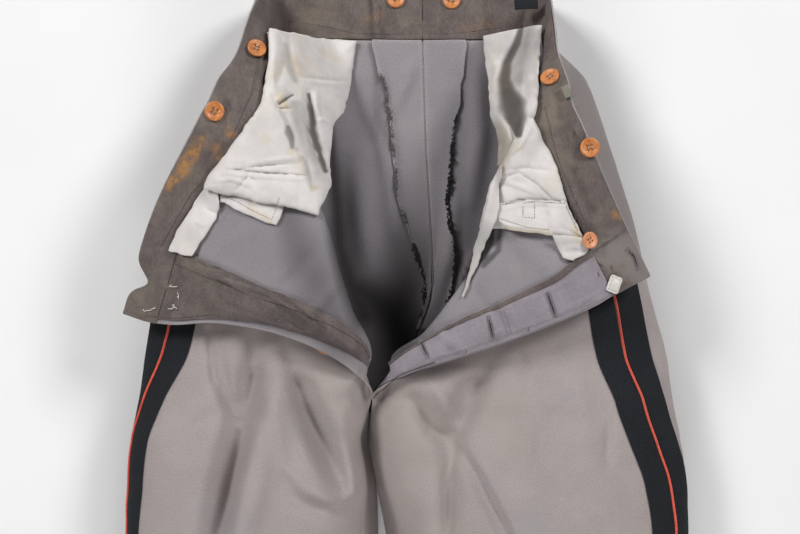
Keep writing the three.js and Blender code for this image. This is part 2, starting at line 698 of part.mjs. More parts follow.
// Lay a geometry's XY plane on a surface point, turned about the normal
function layOn(geometry, { point, normal }, turned, gap) {
  const place = new THREE.Object3D();
  place.up.set(0, 1, 0);
  place.position.copy(point).addScaledVector(normal, gap);
  place.quaternion.setFromUnitVectors(new THREE.Vector3(0, 0, 1), normal);
  place.rotateZ(THREE.MathUtils.degToRad(turned));
  place.updateMatrix();
  return geometry.applyMatrix4(place.matrix);
}

// The lowest place above a spot where a flat base of a given radius clears what lies below
function restingPlace([x, y], radius) {
  const place = drapedPoint(x, y, 4, 0);
  const { point, normal } = place;
  point.z = highest(x, y, 0);
  let rise = 0;
  for (let a = 0; a < 12; a += 1) {
    for (const r of [radius * 0.5, radius]) {
      const [dx, dy] = [r * Math.cos((a * Math.PI) / 6), r * Math.sin((a * Math.PI) / 6)];
      const under = highest(x + dx, y + dy, 0);
      const plane = point.z - (normal.x * dx + normal.y * dy) / normal.z;
      rise = Math.max(rise, (under - plane) * normal.z);
    }
  }
  return { point: point.addScaledVector(normal, rise), normal };
}

for (const [name, { shape: half, flyFacing }] of Object.entries(halves)) {
  const front = wallGrid(half, levels, (at) => frontStations(half, at, flyFacing));
  const back = wallGrid(half, levels, (at) => backStations(half, at));
  const last = levels.length - 1;
  add(`front_${name}`, wallGeometry(front, -clothThick, 0), materials.wool);
  add(`back_${name}`, wallGeometry(back, -clothThick, 0), materials.wool);
  const bandInFront = wallGeometry(part(front, 0, last - 1, 1, 1 + bandColumns), seamGap, seamGap + bandThick);
  add(`band_front_${name}`, bandInFront, materials.black);
  const backBand = part(back, 0, last - 1, backColumns, backColumns + bandColumns);
  add(`band_back_${name}`, wallGeometry(backBand, seamGap, seamGap + bandThick), materials.black);
  const pipingEdge = (at, way) => half.walk(half.seam(at), at, (way * pipingWidth) / 2);
  const piping = wallGrid(half, levels, (at) => [pipingEdge(at, -1), pipingEdge(at, 1)]);
  add(`piping_${name}`, wallGeometry(piping.slice(0, last), seamGap, seamGap + pipingThick), materials.red);
  const waist = waistGrid(half, flyFacing, name === "left");
  add(`waistband_${name}`, wallGeometry(waist, -clothThick, 0), materials.wool);
  const underBand = underWool + waistGap;
  add(`waist_facing_${name}`, wallGeometry(waist, -underBand - facingThick, -underBand), materials.twill);
  const lastColumn = front[0].length - 1;
  const facingRow = levels.findIndex((at) => at >= facingStart);
  const facing = part(front, facingRow, last, lastColumn - 1 - facingColumns, lastColumn - 1);
  const facingName = name === "right" ? "fly_facing" : "fly_underlap_facing";
  add(facingName, wallGeometry(facing, -underWool - facingThick, -underWool), materials.twill);
  const inlayLevels = [...levels.filter((at) => at > inlays[0].at), waistSeamAt - seamGap];
  const inlayEnd = (at) => half.walk(0, at, tableValue(inlays, name, at));
  const inlay = wallGrid(half, inlayLevels, (at) => half.spread(0.02, inlayEnd(at), at, 2));
  add(`seat_inlay_${name}`, wallGeometry(inlay, -underWool - facingThick, -underWool), materials.wool);
}
trousers.children.forEach(recordHeights);

for (const [name, { rows, columns, between, reach = 8, lift = 0.9 }] of Object.entries(pocketPieces)) {
  const draped = drapedGrid(rows, columns, between, reach, lift);
  const bag = add(name, wallGeometry(draped, 0, cottonThick), materials.cotton);
  recordHeights(bag);
}

// Buttons, hook, belt loop and label
braceButtons.forEach(({ place, gap }, i) => {
  const button = buttonGeometry(braceButton);
  const seat = restingPlace(place, braceButton.radius);
  const mesh = add(`brace_button_${i + 1}`, layOn(button, seat, 20 * i, gap), materials.corozo);
  recordHeights(mesh);
});
const small = layOn(buttonGeometry(flyButton), restingPlace(smallButton, flyButton.radius), 30, 0.3);
add("small_button", small, materials.corozo);
flyButtons.forEach(({ at, in: inward }, i) => {
  const half = halves.left.shape;
  const station = half.walk(lastStation, at, -inward);
  const place = { point: half.point(station, at), normal: half.normal(station, at) };
  add(`fly_button_${i + 1}`, layOn(buttonGeometry(flyButton), place, 40 * i, 1), materials.corozo);
});
const plate = new THREE.BoxGeometry(hook.width, hook.length, hook.thick).translate(0, 0, hook.thick / 2);
const tongue = new THREE.BoxGeometry(hook.width * 0.45, hook.length * 0.7, hook.thick);
const hookSolid = toManifold(plate).add(toManifold(tongue.translate(0, hook.length * 0.1, hook.thick * 1.4)));
const hookSeat = restingPlace(hook.place, hook.length / 2);
add("fly_hook", layOn(fromManifold(hookSolid), hookSeat, hook.turned, 0.3), materials.metal);
const { width: loopWidth, length: loopLength, thick: loopThick, rise: loopRise } = beltLoop;
const loopOuter = new THREE.BoxGeometry(loopWidth, loopLength, loopRise).translate(0, 0, loopRise / 2);
const loopHole = new THREE.BoxGeometry(loopWidth * 2, loopLength - 3, loopRise);
loopHole.translate(0, 0, loopRise / 2 - loopThick);
const loopSolid = toManifold(loopOuter).subtract(toManifold(loopHole));
const loopSeat = restingPlace(beltLoop.place, loopLength / 2);
add("belt_loop", layOn(fromManifold(loopSolid), loopSeat, beltLoop.turned, 0.15), materials.wool);
const labelRows = [0, label.height].map((down) => ({
  from: [label.from[0], label.from[1] - down],
  to: [label.to[0], label.to[1] - down],
}));
add("label", wallGeometry(drapedGrid(labelRows, 3, 1, 4, 0.5), 0, 0.8), materials.black);

const box = new THREE.Box3().setFromObject(trousers);
trousers.position.set(-(box.min.x + box.max.x) / 2, -(box.min.y + box.max.y) / 2, -box.min.z);

export default trousers;
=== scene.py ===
import math
import random
import bpy
import bmesh
import numpy as np
from mathutils import Matrix, Vector


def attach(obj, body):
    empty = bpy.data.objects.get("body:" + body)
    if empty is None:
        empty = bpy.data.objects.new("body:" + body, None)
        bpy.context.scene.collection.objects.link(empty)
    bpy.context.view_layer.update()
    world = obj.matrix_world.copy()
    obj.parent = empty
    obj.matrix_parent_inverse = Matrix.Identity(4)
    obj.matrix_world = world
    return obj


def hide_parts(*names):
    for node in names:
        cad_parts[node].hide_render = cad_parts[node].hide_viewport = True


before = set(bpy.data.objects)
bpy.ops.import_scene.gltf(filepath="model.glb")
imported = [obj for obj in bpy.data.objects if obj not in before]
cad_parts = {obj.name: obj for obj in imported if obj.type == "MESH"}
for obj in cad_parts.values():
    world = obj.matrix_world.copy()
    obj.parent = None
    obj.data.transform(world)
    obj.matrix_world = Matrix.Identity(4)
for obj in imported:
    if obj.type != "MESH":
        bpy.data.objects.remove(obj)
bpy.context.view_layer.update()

random.seed(7)
metre = 0.001  # the tables are in millimetres
planShift = (-1.0, 299.54)  # from the tables' own centre to the centre of the whole garment


# the camera stands over the waist, as the photograph does
camera = {"x": 0, "y": 0, "height": 1660, "lens": 80, "sensor": 36}

cameraData = bpy.data.cameras.new("camera")
cameraData.lens = camera["lens"]
cameraData.sensor_width = camera["sensor"]
cameraObject = bpy.data.objects.new("camera", cameraData)
cameraPlace = Vector((camera["x"] + planShift[0], camera["y"] + planShift[1], camera["height"]))
cameraObject.location = cameraPlace * metre
bpy.context.scene.collection.objects.link(cameraObject)
bpy.context.scene.camera = cameraObject
bpy.context.scene.view_settings.view_transform = "Standard"  # the plain studio look of a catalogue photo


# thickness of the cloths, the space between two of them and in a sewn seam, and the levels of the main seams
wallSizes = {
    "wool": 1.8, "facing": 1.1, "gap": 0.35, "sewn": 0.06,
    "crotch": 742, "waistSeam": 1072, "waistTop": 1121,
}


# the wall of each half, from the hem up to the waist
# at is the distance from the hem along the cloth, fill how far the back bulges into the space between the legs
legClearance = 2.5
middleRows = [
    {"at": 0, "y": -860, "centre": 1, "gap": 51, "rise": 18, "fill": 0},
    {"at": 150, "y": -710, "centre": -2, "gap": 44, "rise": 21, "fill": 0},
    {"at": 300, "y": -560, "centre": -7, "gap": 35, "rise": 26, "fill": 0},
    {"at": 460, "y": -400, "centre": -13, "gap": 25, "rise": 32, "fill": 0.3},
    {"at": 617, "y": -243, "centre": -17.5, "gap": 17.5, "rise": 36, "fill": 0.95},
    {"at": 662, "y": -198, "centre": -22.5, "gap": 7.5, "rise": 37, "fill": 1},
    {"at": 702, "y": -158, "centre": -29.5, "gap": 6.5, "rise": 38, "fill": 1},
    {"at": 726, "y": -134, "centre": -28, "gap": 1, "rise": 34, "fill": 0.9},
    {"at": 742, "y": -118, "centre": -25, "gap": 0.3, "rise": 20, "fill": 0},
    {"at": 781, "y": -79, "centre": 8, "gap": 0.3, "rise": 3, "fill": 0},
    {"at": 846, "y": -14, "centre": 31, "gap": 0.2, "rise": 0, "fill": 0},
    {"at": 911, "y": 51, "centre": 28, "gap": 0.2, "rise": 0, "fill": 0},
    {"at": 977, "y": 117, "centre": 24, "gap": 0.2, "rise": 0, "fill": 0},
    {"at": 1036, "y": 176, "centre": 22, "gap": 0.2, "rise": 0, "fill": 0},
    {"at": 1072, "y": 212, "centre": 21, "gap": 0.2, "rise": 0, "fill": 0},
    {"at": 1121, "y": 261, "centre": 21, "gap": 0.2, "rise": 0, "fill": 0},
]
rightLegRows = [
    {"at": 0, "outer": 268, "height": 44, "edge": 18, "seam": 4.8},
    {"at": 150, "outer": 262, "height": 52, "edge": 21, "seam": 4.7},
    {"at": 300, "outer": 261, "height": 62, "edge": 26, "seam": 4.6},
    {"at": 460, "outer": 261, "height": 76, "edge": 32, "seam": 4.6},
    {"at": 617, "outer": 262, "height": 86, "edge": 36, "seam": 4.6},
    {"at": 662, "outer": 261, "height": 87, "edge": 37, "seam": 4.68},
    {"at": 702, "outer": 256, "height": 87, "edge": 38, "seam": 4.85},
    {"at": 726, "outer": 252, "height": 87, "edge": 38, "seam": 4.95},
    {"at": 742, "outer": 249, "height": 87, "edge": 62, "seam": 5.0},
]
leftLegRows = [
    {"at": 0, "outer": -266, "height": 44, "edge": 18, "seam": 4.8},
    {"at": 150, "outer": -260, "height": 52, "edge": 21, "seam": 4.65},
    {"at": 300, "outer": -256, "height": 64, "edge": 26, "seam": 4.45},
    {"at": 460, "outer": -250, "height": 82, "edge": 32, "seam": 4.25},
    {"at": 617, "outer": -248, "height": 95, "edge": 36, "seam": 4.08},
    {"at": 662, "outer": -246, "height": 96, "edge": 37, "seam": 4.14},
    {"at": 702, "outer": -243, "height": 96, "edge": 38, "seam": 4.22},
    {"at": 726, "outer": -239, "height": 95, "edge": 38, "seam": 4.35},
    {"at": 742, "outer": -236, "height": 94, "edge": 62, "seam": 4.45},
]
rightOpenRows = [
    {"at": 781, "outer": (242, -81, 42), "shoulder": 82, "crest": (-7, -84, 87), "bend": 4, "mid": (-1, -90, 90),
     "edge": (6, -97, 90), "seam": 5.1},
    {"at": 846, "outer": (227, -23, 42), "shoulder": 82, "crest": (22, -59, 98), "bend": 6,
     "mid": (35, -71, 103), "edge": (47, -81, 100), "seam": 5.15},
    {"at": 911, "outer": (211, 46, 42), "shoulder": 82, "crest": (45, -31, 106), "bend": 7,
     "mid": (70, -53, 110), "edge": (90, -67, 104), "seam": 5.3},
    {"at": 977, "outer": (191, 110, 42), "shoulder": 80, "crest": (68, 4, 110), "bend": 7,
     "mid": (106, -29, 115), "edge": (134, -50, 106), "seam": 5.55},
    {"at": 1036, "outer": (169, 170, 42), "shoulder": 76, "crest": (92, 65, 112), "bend": 8,
     "mid": (137, 1, 116), "edge": (173, -33, 104), "seam": 6.1},
    {"at": 1072, "outer": (131, 214, 40), "side": (131, 185, 72), "shoulder": 68, "crest": (113, 134, 110),
     "bend": 9, "mid": (150, 48, 114), "edge": (187, -25, 98), "seam": 6.4},
    {"at": 1121, "outer": (136, 247, 46), "side": (141, 190, 88), "shoulder": 92, "crest": (151, 141, 120),
     "bend": 9, "mid": (189, 53, 116), "edge": (221, -7, 86), "seam": 6.6},
]
leftOpenRows = [
    {"at": 781, "outer": (-230, -77, 44), "shoulder": 90, "crest": (-27, -79, 89), "bend": 4,
     "mid": (-33, -85, 93), "edge": (-42, -92, 93), "seam": 4.75},
    {"at": 846, "outer": (-221, -16, 44), "shoulder": 88, "crest": (-43, -39, 104), "bend": 6,
     "mid": (-63, -55, 110), "edge": (-88, -65, 105), "seam": 4.95},
    {"at": 911, "outer": (-207, 50, 44), "shoulder": 86, "crest": (-54, -3, 110), "bend": 7,
     "mid": (-90, -32, 115), "edge": (-130, -53, 105), "seam": 5.1},
    {"at": 977, "outer": (-189, 110, 44), "shoulder": 82, "crest": (-65, 37, 112), "bend": 7,
     "mid": (-120, -15, 116), "edge": (-168, -49, 102), "seam": 5.4},
    {"at": 1036, "outer": (-165, 170, 44), "shoulder": 78, "crest": (-89, 86, 112), "bend": 8,
     "mid": (-155, 10, 112), "edge": (-198, -51, 94), "seam": 5.8},
    {"at": 1072, "outer": (-125, 214, 40), "side": (-118, 184, 76), "shoulder": 68, "crest": (-119, 140, 110),
     "bend": 9, "mid": (-177, 55, 106), "edge": (-215, -50, 86), "seam": 5.75},
    {"at": 1121, "outer": (-129, 247, 46), "side": (-147, 186, 86), "shoulder": 92, "crest": (-167, 145, 116),
     "bend": 9, "mid": (-218, 47, 98), "edge": (-247, -41, 72), "seam": 5.8},
]
legArch = [
    {"across": 0.12, "up": 0.8},
    {"across": 0.48, "up": 1},
    {"across": 0.8, "up": 0.97},
    {"across": 0.88, "up": 0.9},
    {"across": 0.94, "up": 0.78},
    {"across": 0.98, "up": 0.62},
]
largeFolds = [
    {"path": [(-158, -58), (-150, -138)], "depth": -9, "width": 7},
    {"path": [(-126, -70), (-167, -262)], "depth": -17, "width": 15},
    {"path": [(-106, -108), (-156, -300)], "depth": 9, "width": 13},
    {"path": [(-97, -78), (-54, -205)], "depth": -16, "width": 14},
    {"path": [(-99, -124), (-58, -212)], "depth": 9, "width": 11},
    {"path": [(-38, -118), (-36, -214)], "depth": 6, "width": 9},
    {"path": [(74, -78), (46, -158)], "depth": -12, "width": 13},
    {"path": [(12, -116), (46, -160)], "depth": -10, "width": 11},
    {"path": [(46, -156), (42, -262)], "depth": -8, "width": 11},
    {"path": [(57, -168), (100, -250)], "depth": -6, "width": 6},
    {"path": [(120, -90), (150, -260)], "depth": 4, "width": 26},
]
# smaller creases on the legs' tops, then down the legs
legCreases = [
    {"path": [(-170, -56), (-165, -100), (-150, -124), (-145, -135)], "depth": -6, "width": 3.5},
    {"path": [(-157, -56), (-154, -84), (-148, -110)], "depth": 5, "width": 6},
    {"path": [(-127, -60), (-131, -91), (-139, -126), (-141, -142)], "depth": -9, "width": 8},
    {"path": [(-150, -140), (-139, -143), (-127, -140)], "depth": 3, "width": 3},
    {"path": [(-139, -145), (-145, -162), (-149, -175), (-155, -206), (-162, -236), (-168, -268)], "depth": -13,
     "width": 12, "sharp": 0.4},
    {"path": [(-113, -117), (-127, -153), (-138, -188), (-147, -236), (-152, -268)], "depth": 5, "width": 7},
    {"path": [(-101, -75), (-95, -95), (-85, -122), (-72, -148), (-59, -178), (-50, -195)], "depth": -10,
     "width": 6, "sharp": 1.5},
    {"path": [(-110, -124), (-101, -175), (-79, -198), (-52, -207), (-42, -202), (-48, -160), (-51, -129),
              (-39, -116)], "depth": 5.5, "width": 7},
    {"path": [(-95, -201), (-64, -219), (-45, -227)], "depth": -5, "width": 6},
    {"path": [(-159, -125), (-184, -146), (-201, -163)], "depth": -4, "width": 8},
    {"path": [(83, -76), (72, -95), (60, -118), (49, -145)], "depth": -6, "width": 12, "sharp": 0.8},
    {"path": [(12, -118), (28, -145), (42, -155), (51, -149)], "depth": -7, "width": 6},
    {"path": [(26, -100), (41, -121), (46, -139)], "depth": 4, "width": 6},
    {"path": [(49, -159), (43, -184), (43, -230), (44, -268)], "depth": -6, "width": 5, "sharp": 0.8},
    {"path": [(57, -164), (72, -187), (94, -230), (106, -259)], "depth": -3.6, "width": 3},
    {"path": [(106, -72), (116, -118)], "depth": -3, "width": 6},
    {"path": [(129, -133), (120, -182)], "depth": -2.6, "width": 7},
    {"path": [(186, -140), (185, -179)], "depth": -4, "width": 5},
    {"path": [(154, -73), (164, -126), (168, -179)], "depth": 2.6, "width": 9},
    {"path": [(-205, -330), (-160, -352), (-108, -340)], "depth": -3, "width": 9},
    {"path": [(-190, -418), (-140, -404), (-84, -430)], "depth": -4, "width": 8},
    {"path": [(-200, -455), (-150, -470), (-70, -452)], "depth": -3, "width": 7},
    {"path": [(-170, -560), (-120, -600), (-112, -700)], "depth": -3, "width": 10},
    {"path": [(-200, -640), (-188, -780)], "depth": 2.5, "width": 9},
    {"path": [(60, -330), (110, -352), (172, -338)], "depth": -3, "width": 8},
    {"path": [(48, -428), (112, -410), (190, -432)], "depth": -4, "width": 9},
    {"path": [(70, -476), (140, -462), (196, -480)], "depth": -2.5, "width": 6},
    {"path": [(120, -540), (148, -640), (140, -740)], "depth": -3, "width": 10},
    {"path": [(205, -600), (212, -760)], "depth": 2, "width": 8},
]


creaseEnds = (0.12, 0.88)  # which part of a half wave a crease's depth follows along its path


def mix(a, b, t):
    return a + (b - a) * t


def smooth(x, low, high):
    t = np.clip((np.asarray(x, float) - low) / (high - low), 0, 1)
    return t * t * (3 - 2 * t)


def unit(v):
    return v / np.maximum(np.linalg.norm(v, axis=-1, keepdims=True), 1e-9)


def steadySlopes(knots, values):  # a cubic through the rows that doesn't overshoot them
    h = np.diff(knots)
    rates = np.diff(values, axis=0) / h.reshape(-1, *[1] * (values.ndim - 1))
    slopes = np.zeros_like(values)
    slopes[0], slopes[-1] = rates[0], rates[-1]
    for i in range(1, len(knots) - 1):
        w1, w2 = 2 * h[i] + h[i - 1], h[i] + 2 * h[i - 1]
        same = rates[i - 1] * rates[i] > 0
        safeA = np.where(same, rates[i - 1], 1)
        safeB = np.where(same, rates[i], 1)
        slopes[i] = np.where(same, (w1 + w2) / (w1 / safeA + w2 / safeB), 0)
    return slopes


def cubic(a, b, slopeA, slopeB, t):
    t2, t3 = t * t, t * t * t
    return (2 * t3 - 3 * t2 + 1) * a + (t3 - 2 * t2 + t) * slopeA + (3 * t2 - 2 * t3) * b + (t3 - t2) * slopeB


def creaseHeight(rows, x, y):  # soft ridges and troughs along drawn paths; sharp scales the width on their right
    total = np.zeros_like(x)
    for row in rows:
        path = np.array(row["path"], float)
        legs = np.linalg.norm(np.diff(path, axis=0), axis=1)
        run = np.concatenate([[0], np.cumsum(legs)])
        best = np.full_like(x, 1e9)
        share, turn = np.zeros_like(x), np.ones_like(x)
        for i in range(len(path) - 1):
            d = path[i + 1] - path[i]
            t = np.clip(((x - path[i, 0]) * d[0] + (y - path[i, 1]) * d[1]) / (d @ d), 0, 1)
            off = np.hypot(x - path[i, 0] - t * d[0], y - path[i, 1] - t * d[1])
            closer = off < best
            best = np.where(closer, off, best)
            onRight = (x - path[i, 0]) * d[1] - (y - path[i, 1]) * d[0] < 0
            turn = np.where(closer, np.where(onRight, row.get("sharp", 1), 1), turn)
            share = np.where(closer, (run[i] + t * legs[i]) / run[-1], share)
        across = np.exp(-((best / row["width"] / turn) ** 2))
        total += row["depth"] * across * np.sin(math.pi * mix(*creaseEnds, share))
    return total


def unevenness(p, size, seed):  # smooth random height, about -1 to 1, the same on every run
    q = np.asarray(p, float) / size + seed * 17.31
    cell = np.floor(q).astype(np.int64)
    f = q - cell
    f = f * f * (3 - 2 * f)
    total = np.zeros(q.shape[:-1])
    for corner in range(8):
        bits = np.array([corner & 1, corner >> 1 & 1, corner >> 2 & 1])
        key = (cell + bits) @ np.array([73856093, 19349663, 83492791]) + seed * 2654435
        key = ((key ^ (key >> 13)) & 0xFFFFFFFF) * 1274126177
        value = ((key ^ (key >> 16)) & 65535) / 32767.5 - 1
        total += value * np.prod(np.where(bits, f, 1 - f), axis=-1)
    return total


sectionShape = {  # how the round of one section is built from its row
    "floor": (0.12, 0.5, 0.86), "outerHeight": 0.42, "over": 2.2, "overMost": 0.4, "under": 2.4, "underDrop": 1.7,
    "lowAcross": 0.28, "lowUp": 0.6, "crestDrop": 0.4, "beyondUp": 1,
}
foldReach = {  # levels and stations between which the large folds fade
    "opens": (726, 758), "narrows": (712, 772), "from": (4.7, 5.5), "lastClosed": 11.4, "lastOpen": 7, "fade": 1.4,
}


class Half:
    last = 11
    stations = np.linspace(0, last, 441)

    def __init__(self, side, legRows, openRows):
        self.side = side
        middles = {row["at"]: row for row in middleRows}
        rows = legRows + openRows
        sections = [self.section(middles[row["at"]], row) for row in rows]
        self.knots = np.array([row["at"] for row in rows], float)
        self.tracks = np.array(sections)
        self.slopes = steadySlopes(self.knots, self.tracks)
        self.seams = np.array([row["seam"] for row in rows], float)
        self.seamSlopes = steadySlopes(self.knots, self.seams)
        self.known = {}

    def section(self, inner, row):
        start = np.array([inner["centre"] + self.side * inner["gap"], inner["y"], inner["rise"]], float)
        closed = "height" in row
        if closed:
            outer = np.array([row["outer"], inner["y"], sectionShape["outerHeight"] * row["height"]], float)
        else:
            outer = np.array(row["outer"], float)
        points = [start]
        for share in sectionShape["floor"]:
            x = mix(start[0], outer[0], share)
            if share == sectionShape["floor"][0]:
                x = mix(x, inner["centre"] + self.side * legClearance, inner["fill"])
            points.append(np.array([x, mix(inner["y"], outer[1], share ** 3), 0]))
        points.append(outer)
        if closed:
            for rib in legArch:
                x = mix(outer[0], start[0], rib["across"])
                points.append(np.array([x, inner["y"], rib["up"] * row["height"]]))
            points.append(np.array([start[0], inner["y"], row["edge"]]))
            return points
        crest, mid = np.array(row["crest"], float), np.array(row["mid"], float)
        toOuter = unit((outer - crest) * (1, 1, 0))
        toMid = (mid - crest) * (1, 1, 0)
        over = min(row["bend"] * sectionShape["over"], np.linalg.norm(toMid) * sectionShape["overMost"])
        under = crest + toOuter * row["bend"] * sectionShape["under"]
        under[2] = crest[2] - row["bend"] * sectionShape["underDrop"]
        flank = mix(outer, under, 0.5)
        flank[2] = row["shoulder"]
        if "side" in row:
            flank = np.array(row["side"], float)
        low = mix(outer, flank, sectionShape["lowAcross"])
        low[2] = mix(outer[2], flank[2], sectionShape["lowUp"])
        beyond = crest + unit(toMid) * over
        beyond[2] = crest[2] + sectionShape["beyondUp"]
        top = crest - (0, 0, row["bend"] * sectionShape["crestDrop"])
        return points + [low, flank, under, top, beyond, mid, np.array(row["edge"], float)]

    def read(self, values, slopes, at):
        i = int(np.clip(np.searchsorted(self.knots, at, side="right") - 1, 0, len(self.knots) - 2))
        h = self.knots[i + 1] - self.knots[i]
        return cubic(values[i], values[i + 1], slopes[i] * h, slopes[i + 1] * h, (at - self.knots[i]) / h)

    def seam(self, at):
        return float(self.read(self.seams, self.seamSlopes, at))

    def line(self, at):  # one section, as points at the fine stations
        p = self.read(self.tracks, self.slopes, at)
        closed = 1 - smooth(at, *foldReach["opens"])
        before = np.vstack([mix(2 * p[0] - p[1], p[10], closed), p[:-1]])
        after = np.vstack([p[1:], mix(2 * p[11] - p[10], p[1], closed)])
        h0 = np.sqrt(np.linalg.norm(p - before, axis=1))[:, None]
        h1 = np.sqrt(np.linalg.norm(p - after, axis=1))[:, None]
        slope = ((p - before) * h1 / h0 + (after - p) * h0 / h1) / (h0 + h1)
        k = np.minimum(self.stations.astype(int), self.last - 1)
        t = (self.stations - k)[:, None]
        h = np.sqrt(np.linalg.norm(p[k + 1] - p[k], axis=1))[:, None]
        curve = cubic(p[k], p[k + 1], slope[k] * h, slope[k + 1] * h, t)
        curve[:, 2] = np.maximum(curve[:, 2], 0)
        end = mix(foldReach["lastClosed"], foldReach["lastOpen"], float(smooth(at, *foldReach["narrows"])))
        fade = smooth(self.stations, end - foldReach["fade"], end)
        reach = smooth(self.stations, *foldReach["from"]) * (1 - fade)
        curve[:, 2] += reach * creaseHeight(largeFolds, curve[:, 0], curve[:, 1])
        return curve, reach

    def level(self, at):  # points, normals and real length round one section
        key = round(float(at), 3)
        if key not in self.known:
            points, reach = self.line(at)
            low, high = max(at - 1.5, 0), min(at + 1.5, wallSizes["waistTop"])
            along = self.line(high)[0] - self.line(low)[0]
            across = np.gradient(points, axis=0)
            normals = unit(np.cross(across, along) * -self.side)
            steps = np.linalg.norm(np.diff(points, axis=0), axis=1)
            lengths = np.concatenate([[0], np.cumsum(steps)])
            self.known[key] = {"points": points, "normals": normals, "lengths": lengths, "reach": reach}
        return self.known[key]

    def lengthAt(self, at, station):
        return float(np.interp(station, self.stations, self.level(at)["lengths"]))

    def sample(self, at, lengths):  # columns: x y z, normal, station, reach
        row = self.level(at)
        columns = [np.interp(lengths, row["lengths"], row["points"][:, i]) for i in range(3)]
        columns += [np.interp(lengths, row["lengths"], row["normals"][:, i]) for i in range(3)]
        columns.append(np.interp(lengths, row["lengths"], self.stations))
        columns.append(np.interp(lengths, row["lengths"], row["reach"]))
        return np.stack(columns, axis=-1)


rightHalf = Half(1, rightLegRows, rightOpenRows)
leftHalf = Half(-1, leftLegRows, leftOpenRows)
halves = {"right": rightHalf, "left": leftHalf}
print("halves ready")


# from rows of points to closed, round-edged cloth
wallRound = 1.2  # how far in from an edge the cloth reaches its full thickness
edgeSteps = np.array([0, 0.12, 0.45]) * wallRound  # close columns that make an edge round


def spread(start, end, count):  # lengths from start to end, close together at both ends
    inner = np.linspace(start + wallRound, end - wallRound, count - 2 * len(edgeSteps))
    return np.concatenate([start + edgeSteps, inner, end - edgeSteps[::-1]])


def panelGrid(half, levels, ends, count):  # ends(at) gives the first and last length round the section
    rows, lengths = [], []
    for at in levels:
        a, b = ends(at)
        across = spread(a, b, count)
        rows.append(half.sample(at, across))
        lengths.append(across)
    data, across = np.array(rows), np.array(lengths)
    at = np.repeat(np.array(levels)[:, None], count, axis=1)
    side = np.minimum(across - across[:, :1], across[:, -1:] - across)
    end = np.minimum(at - at[:1], at[-1:] - at)
    p, n = data[..., :3], data[..., 3:6]
    return {"p": p, "n": n, "station": data[..., 6], "reach": data[..., 7], "across": across, "at": at,
            "edge": np.minimum(side, end)}


turnedCreases = [  # on the fronts where their inside shows
    {"path": [(-118, 40), (-150, 22), (-190, -6)], "depth": 2.5, "width": 9},
    {"path": [(-70, 20), (-92, -8), (-120, -30)], "depth": -2.5, "width": 7},
    {"path": [(-52, -12), (-72, -34), (-96, -52)], "depth": 2.5, "width": 5},
    {"path": [(-160, 60), (-188, 38), (-205, 20)], "depth": -2, "width": 7},
    {"path": [(56, -8), (74, -32), (96, -52)], "depth": -2.5, "width": 6},
    {"path": [(92, 40), (112, 12), (150, -14)], "depth": 2.5, "width": 8},
    {"path": [(82, 44), (81, 20), (70, 4)], "depth": -3, "width": 3},
    {"path": [(110, 70), (140, 46), (172, 20)], "depth": -2, "width": 8},
    {"path": [(30, -54), (46, -66), (60, -76)], "depth": 2, "width": 4},
]
seatCreases = [  # where the back lifts off the table inside
    {"path": [(-22, 192), (-14, 120), (-6, 32)], "depth": 7, "width": 8},
    {"path": [(12, 192), (-4, 150)], "depth": 4, "width": 6},
    {"path": [(-36, 100), (-33, 42), (-26, -4)], "depth": 13, "width": 14},
    {"path": [(52, 70), (44, 10), (26, -50)], "depth": 6, "width": 8},
    {"path": [(70, 200), (74, 120), (66, 60)], "depth": 5, "width": 8},
    {"path": [(2, -40), (10, -80)], "depth": 5, "width": 7},
    {"path": [(-96, 60), (-80, -30), (-60, -90)], "depth": 8, "width": 12},
    {"path": [(110, 60), (96, -30), (70, -90)], "depth": 8, "width": 12},
]
clothWaves = {"broad": 0.75, "broadSize": 42, "small": 0.32, "smallSize": 15, "calm": 0.6}
creaseRanges = {  # levels and stations between which each group of creases comes in
    "turned": (742, 790), "turnedStations": (7.6, 8.8),
    "seat": (742, 800), "seatStations": (3.2, 4.2), "seatTop": (1040, 1072),
}


def crumple(grid):  # every piece on one wall takes the same creases, so what is sewn on follows
    p, n, station, at = grid["p"], grid["n"], grid["station"], grid["at"]
    x, y = p[..., 0], p[..., 1]
    wave = clothWaves["broad"] * unevenness(p, clothWaves["broadSize"], 3)
    wave += clothWaves["small"] * unevenness(p, clothWaves["smallSize"], 5)
    turned = smooth(at, *creaseRanges["turned"]) * smooth(station, *creaseRanges["turnedStations"])
    calm = 1 - clothWaves["calm"] * turned
    p = p + n * (wave * calm)[..., None]
    lift = grid["reach"] * creaseHeight(legCreases, x, y)
    lift += turned * creaseHeight(turnedCreases, x, y)
    seat = smooth(at, *creaseRanges["seat"]) * (1 - smooth(at, *creaseRanges["seatTop"]))
    seat = seat * (1 - smooth(station, *creaseRanges["seatStations"]))
    lift += seat * np.maximum(creaseHeight(seatCreases, x, y), 0)
    p = p + lift[..., None] * np.array([0, 0, 1.0])
    p[..., 2] = np.maximum(p[..., 2], 0.05)
    return {**grid, "p": p}


def gridNormals(points, like):
    du = np.gradient(points, axis=1)
    dv = np.gradient(points, axis=0)
    n = unit(np.cross(du, dv))
    flip = np.sign(np.sum(n * like, axis=-1, keepdims=True))
    return n * np.where(flip == 0, 1, flip)


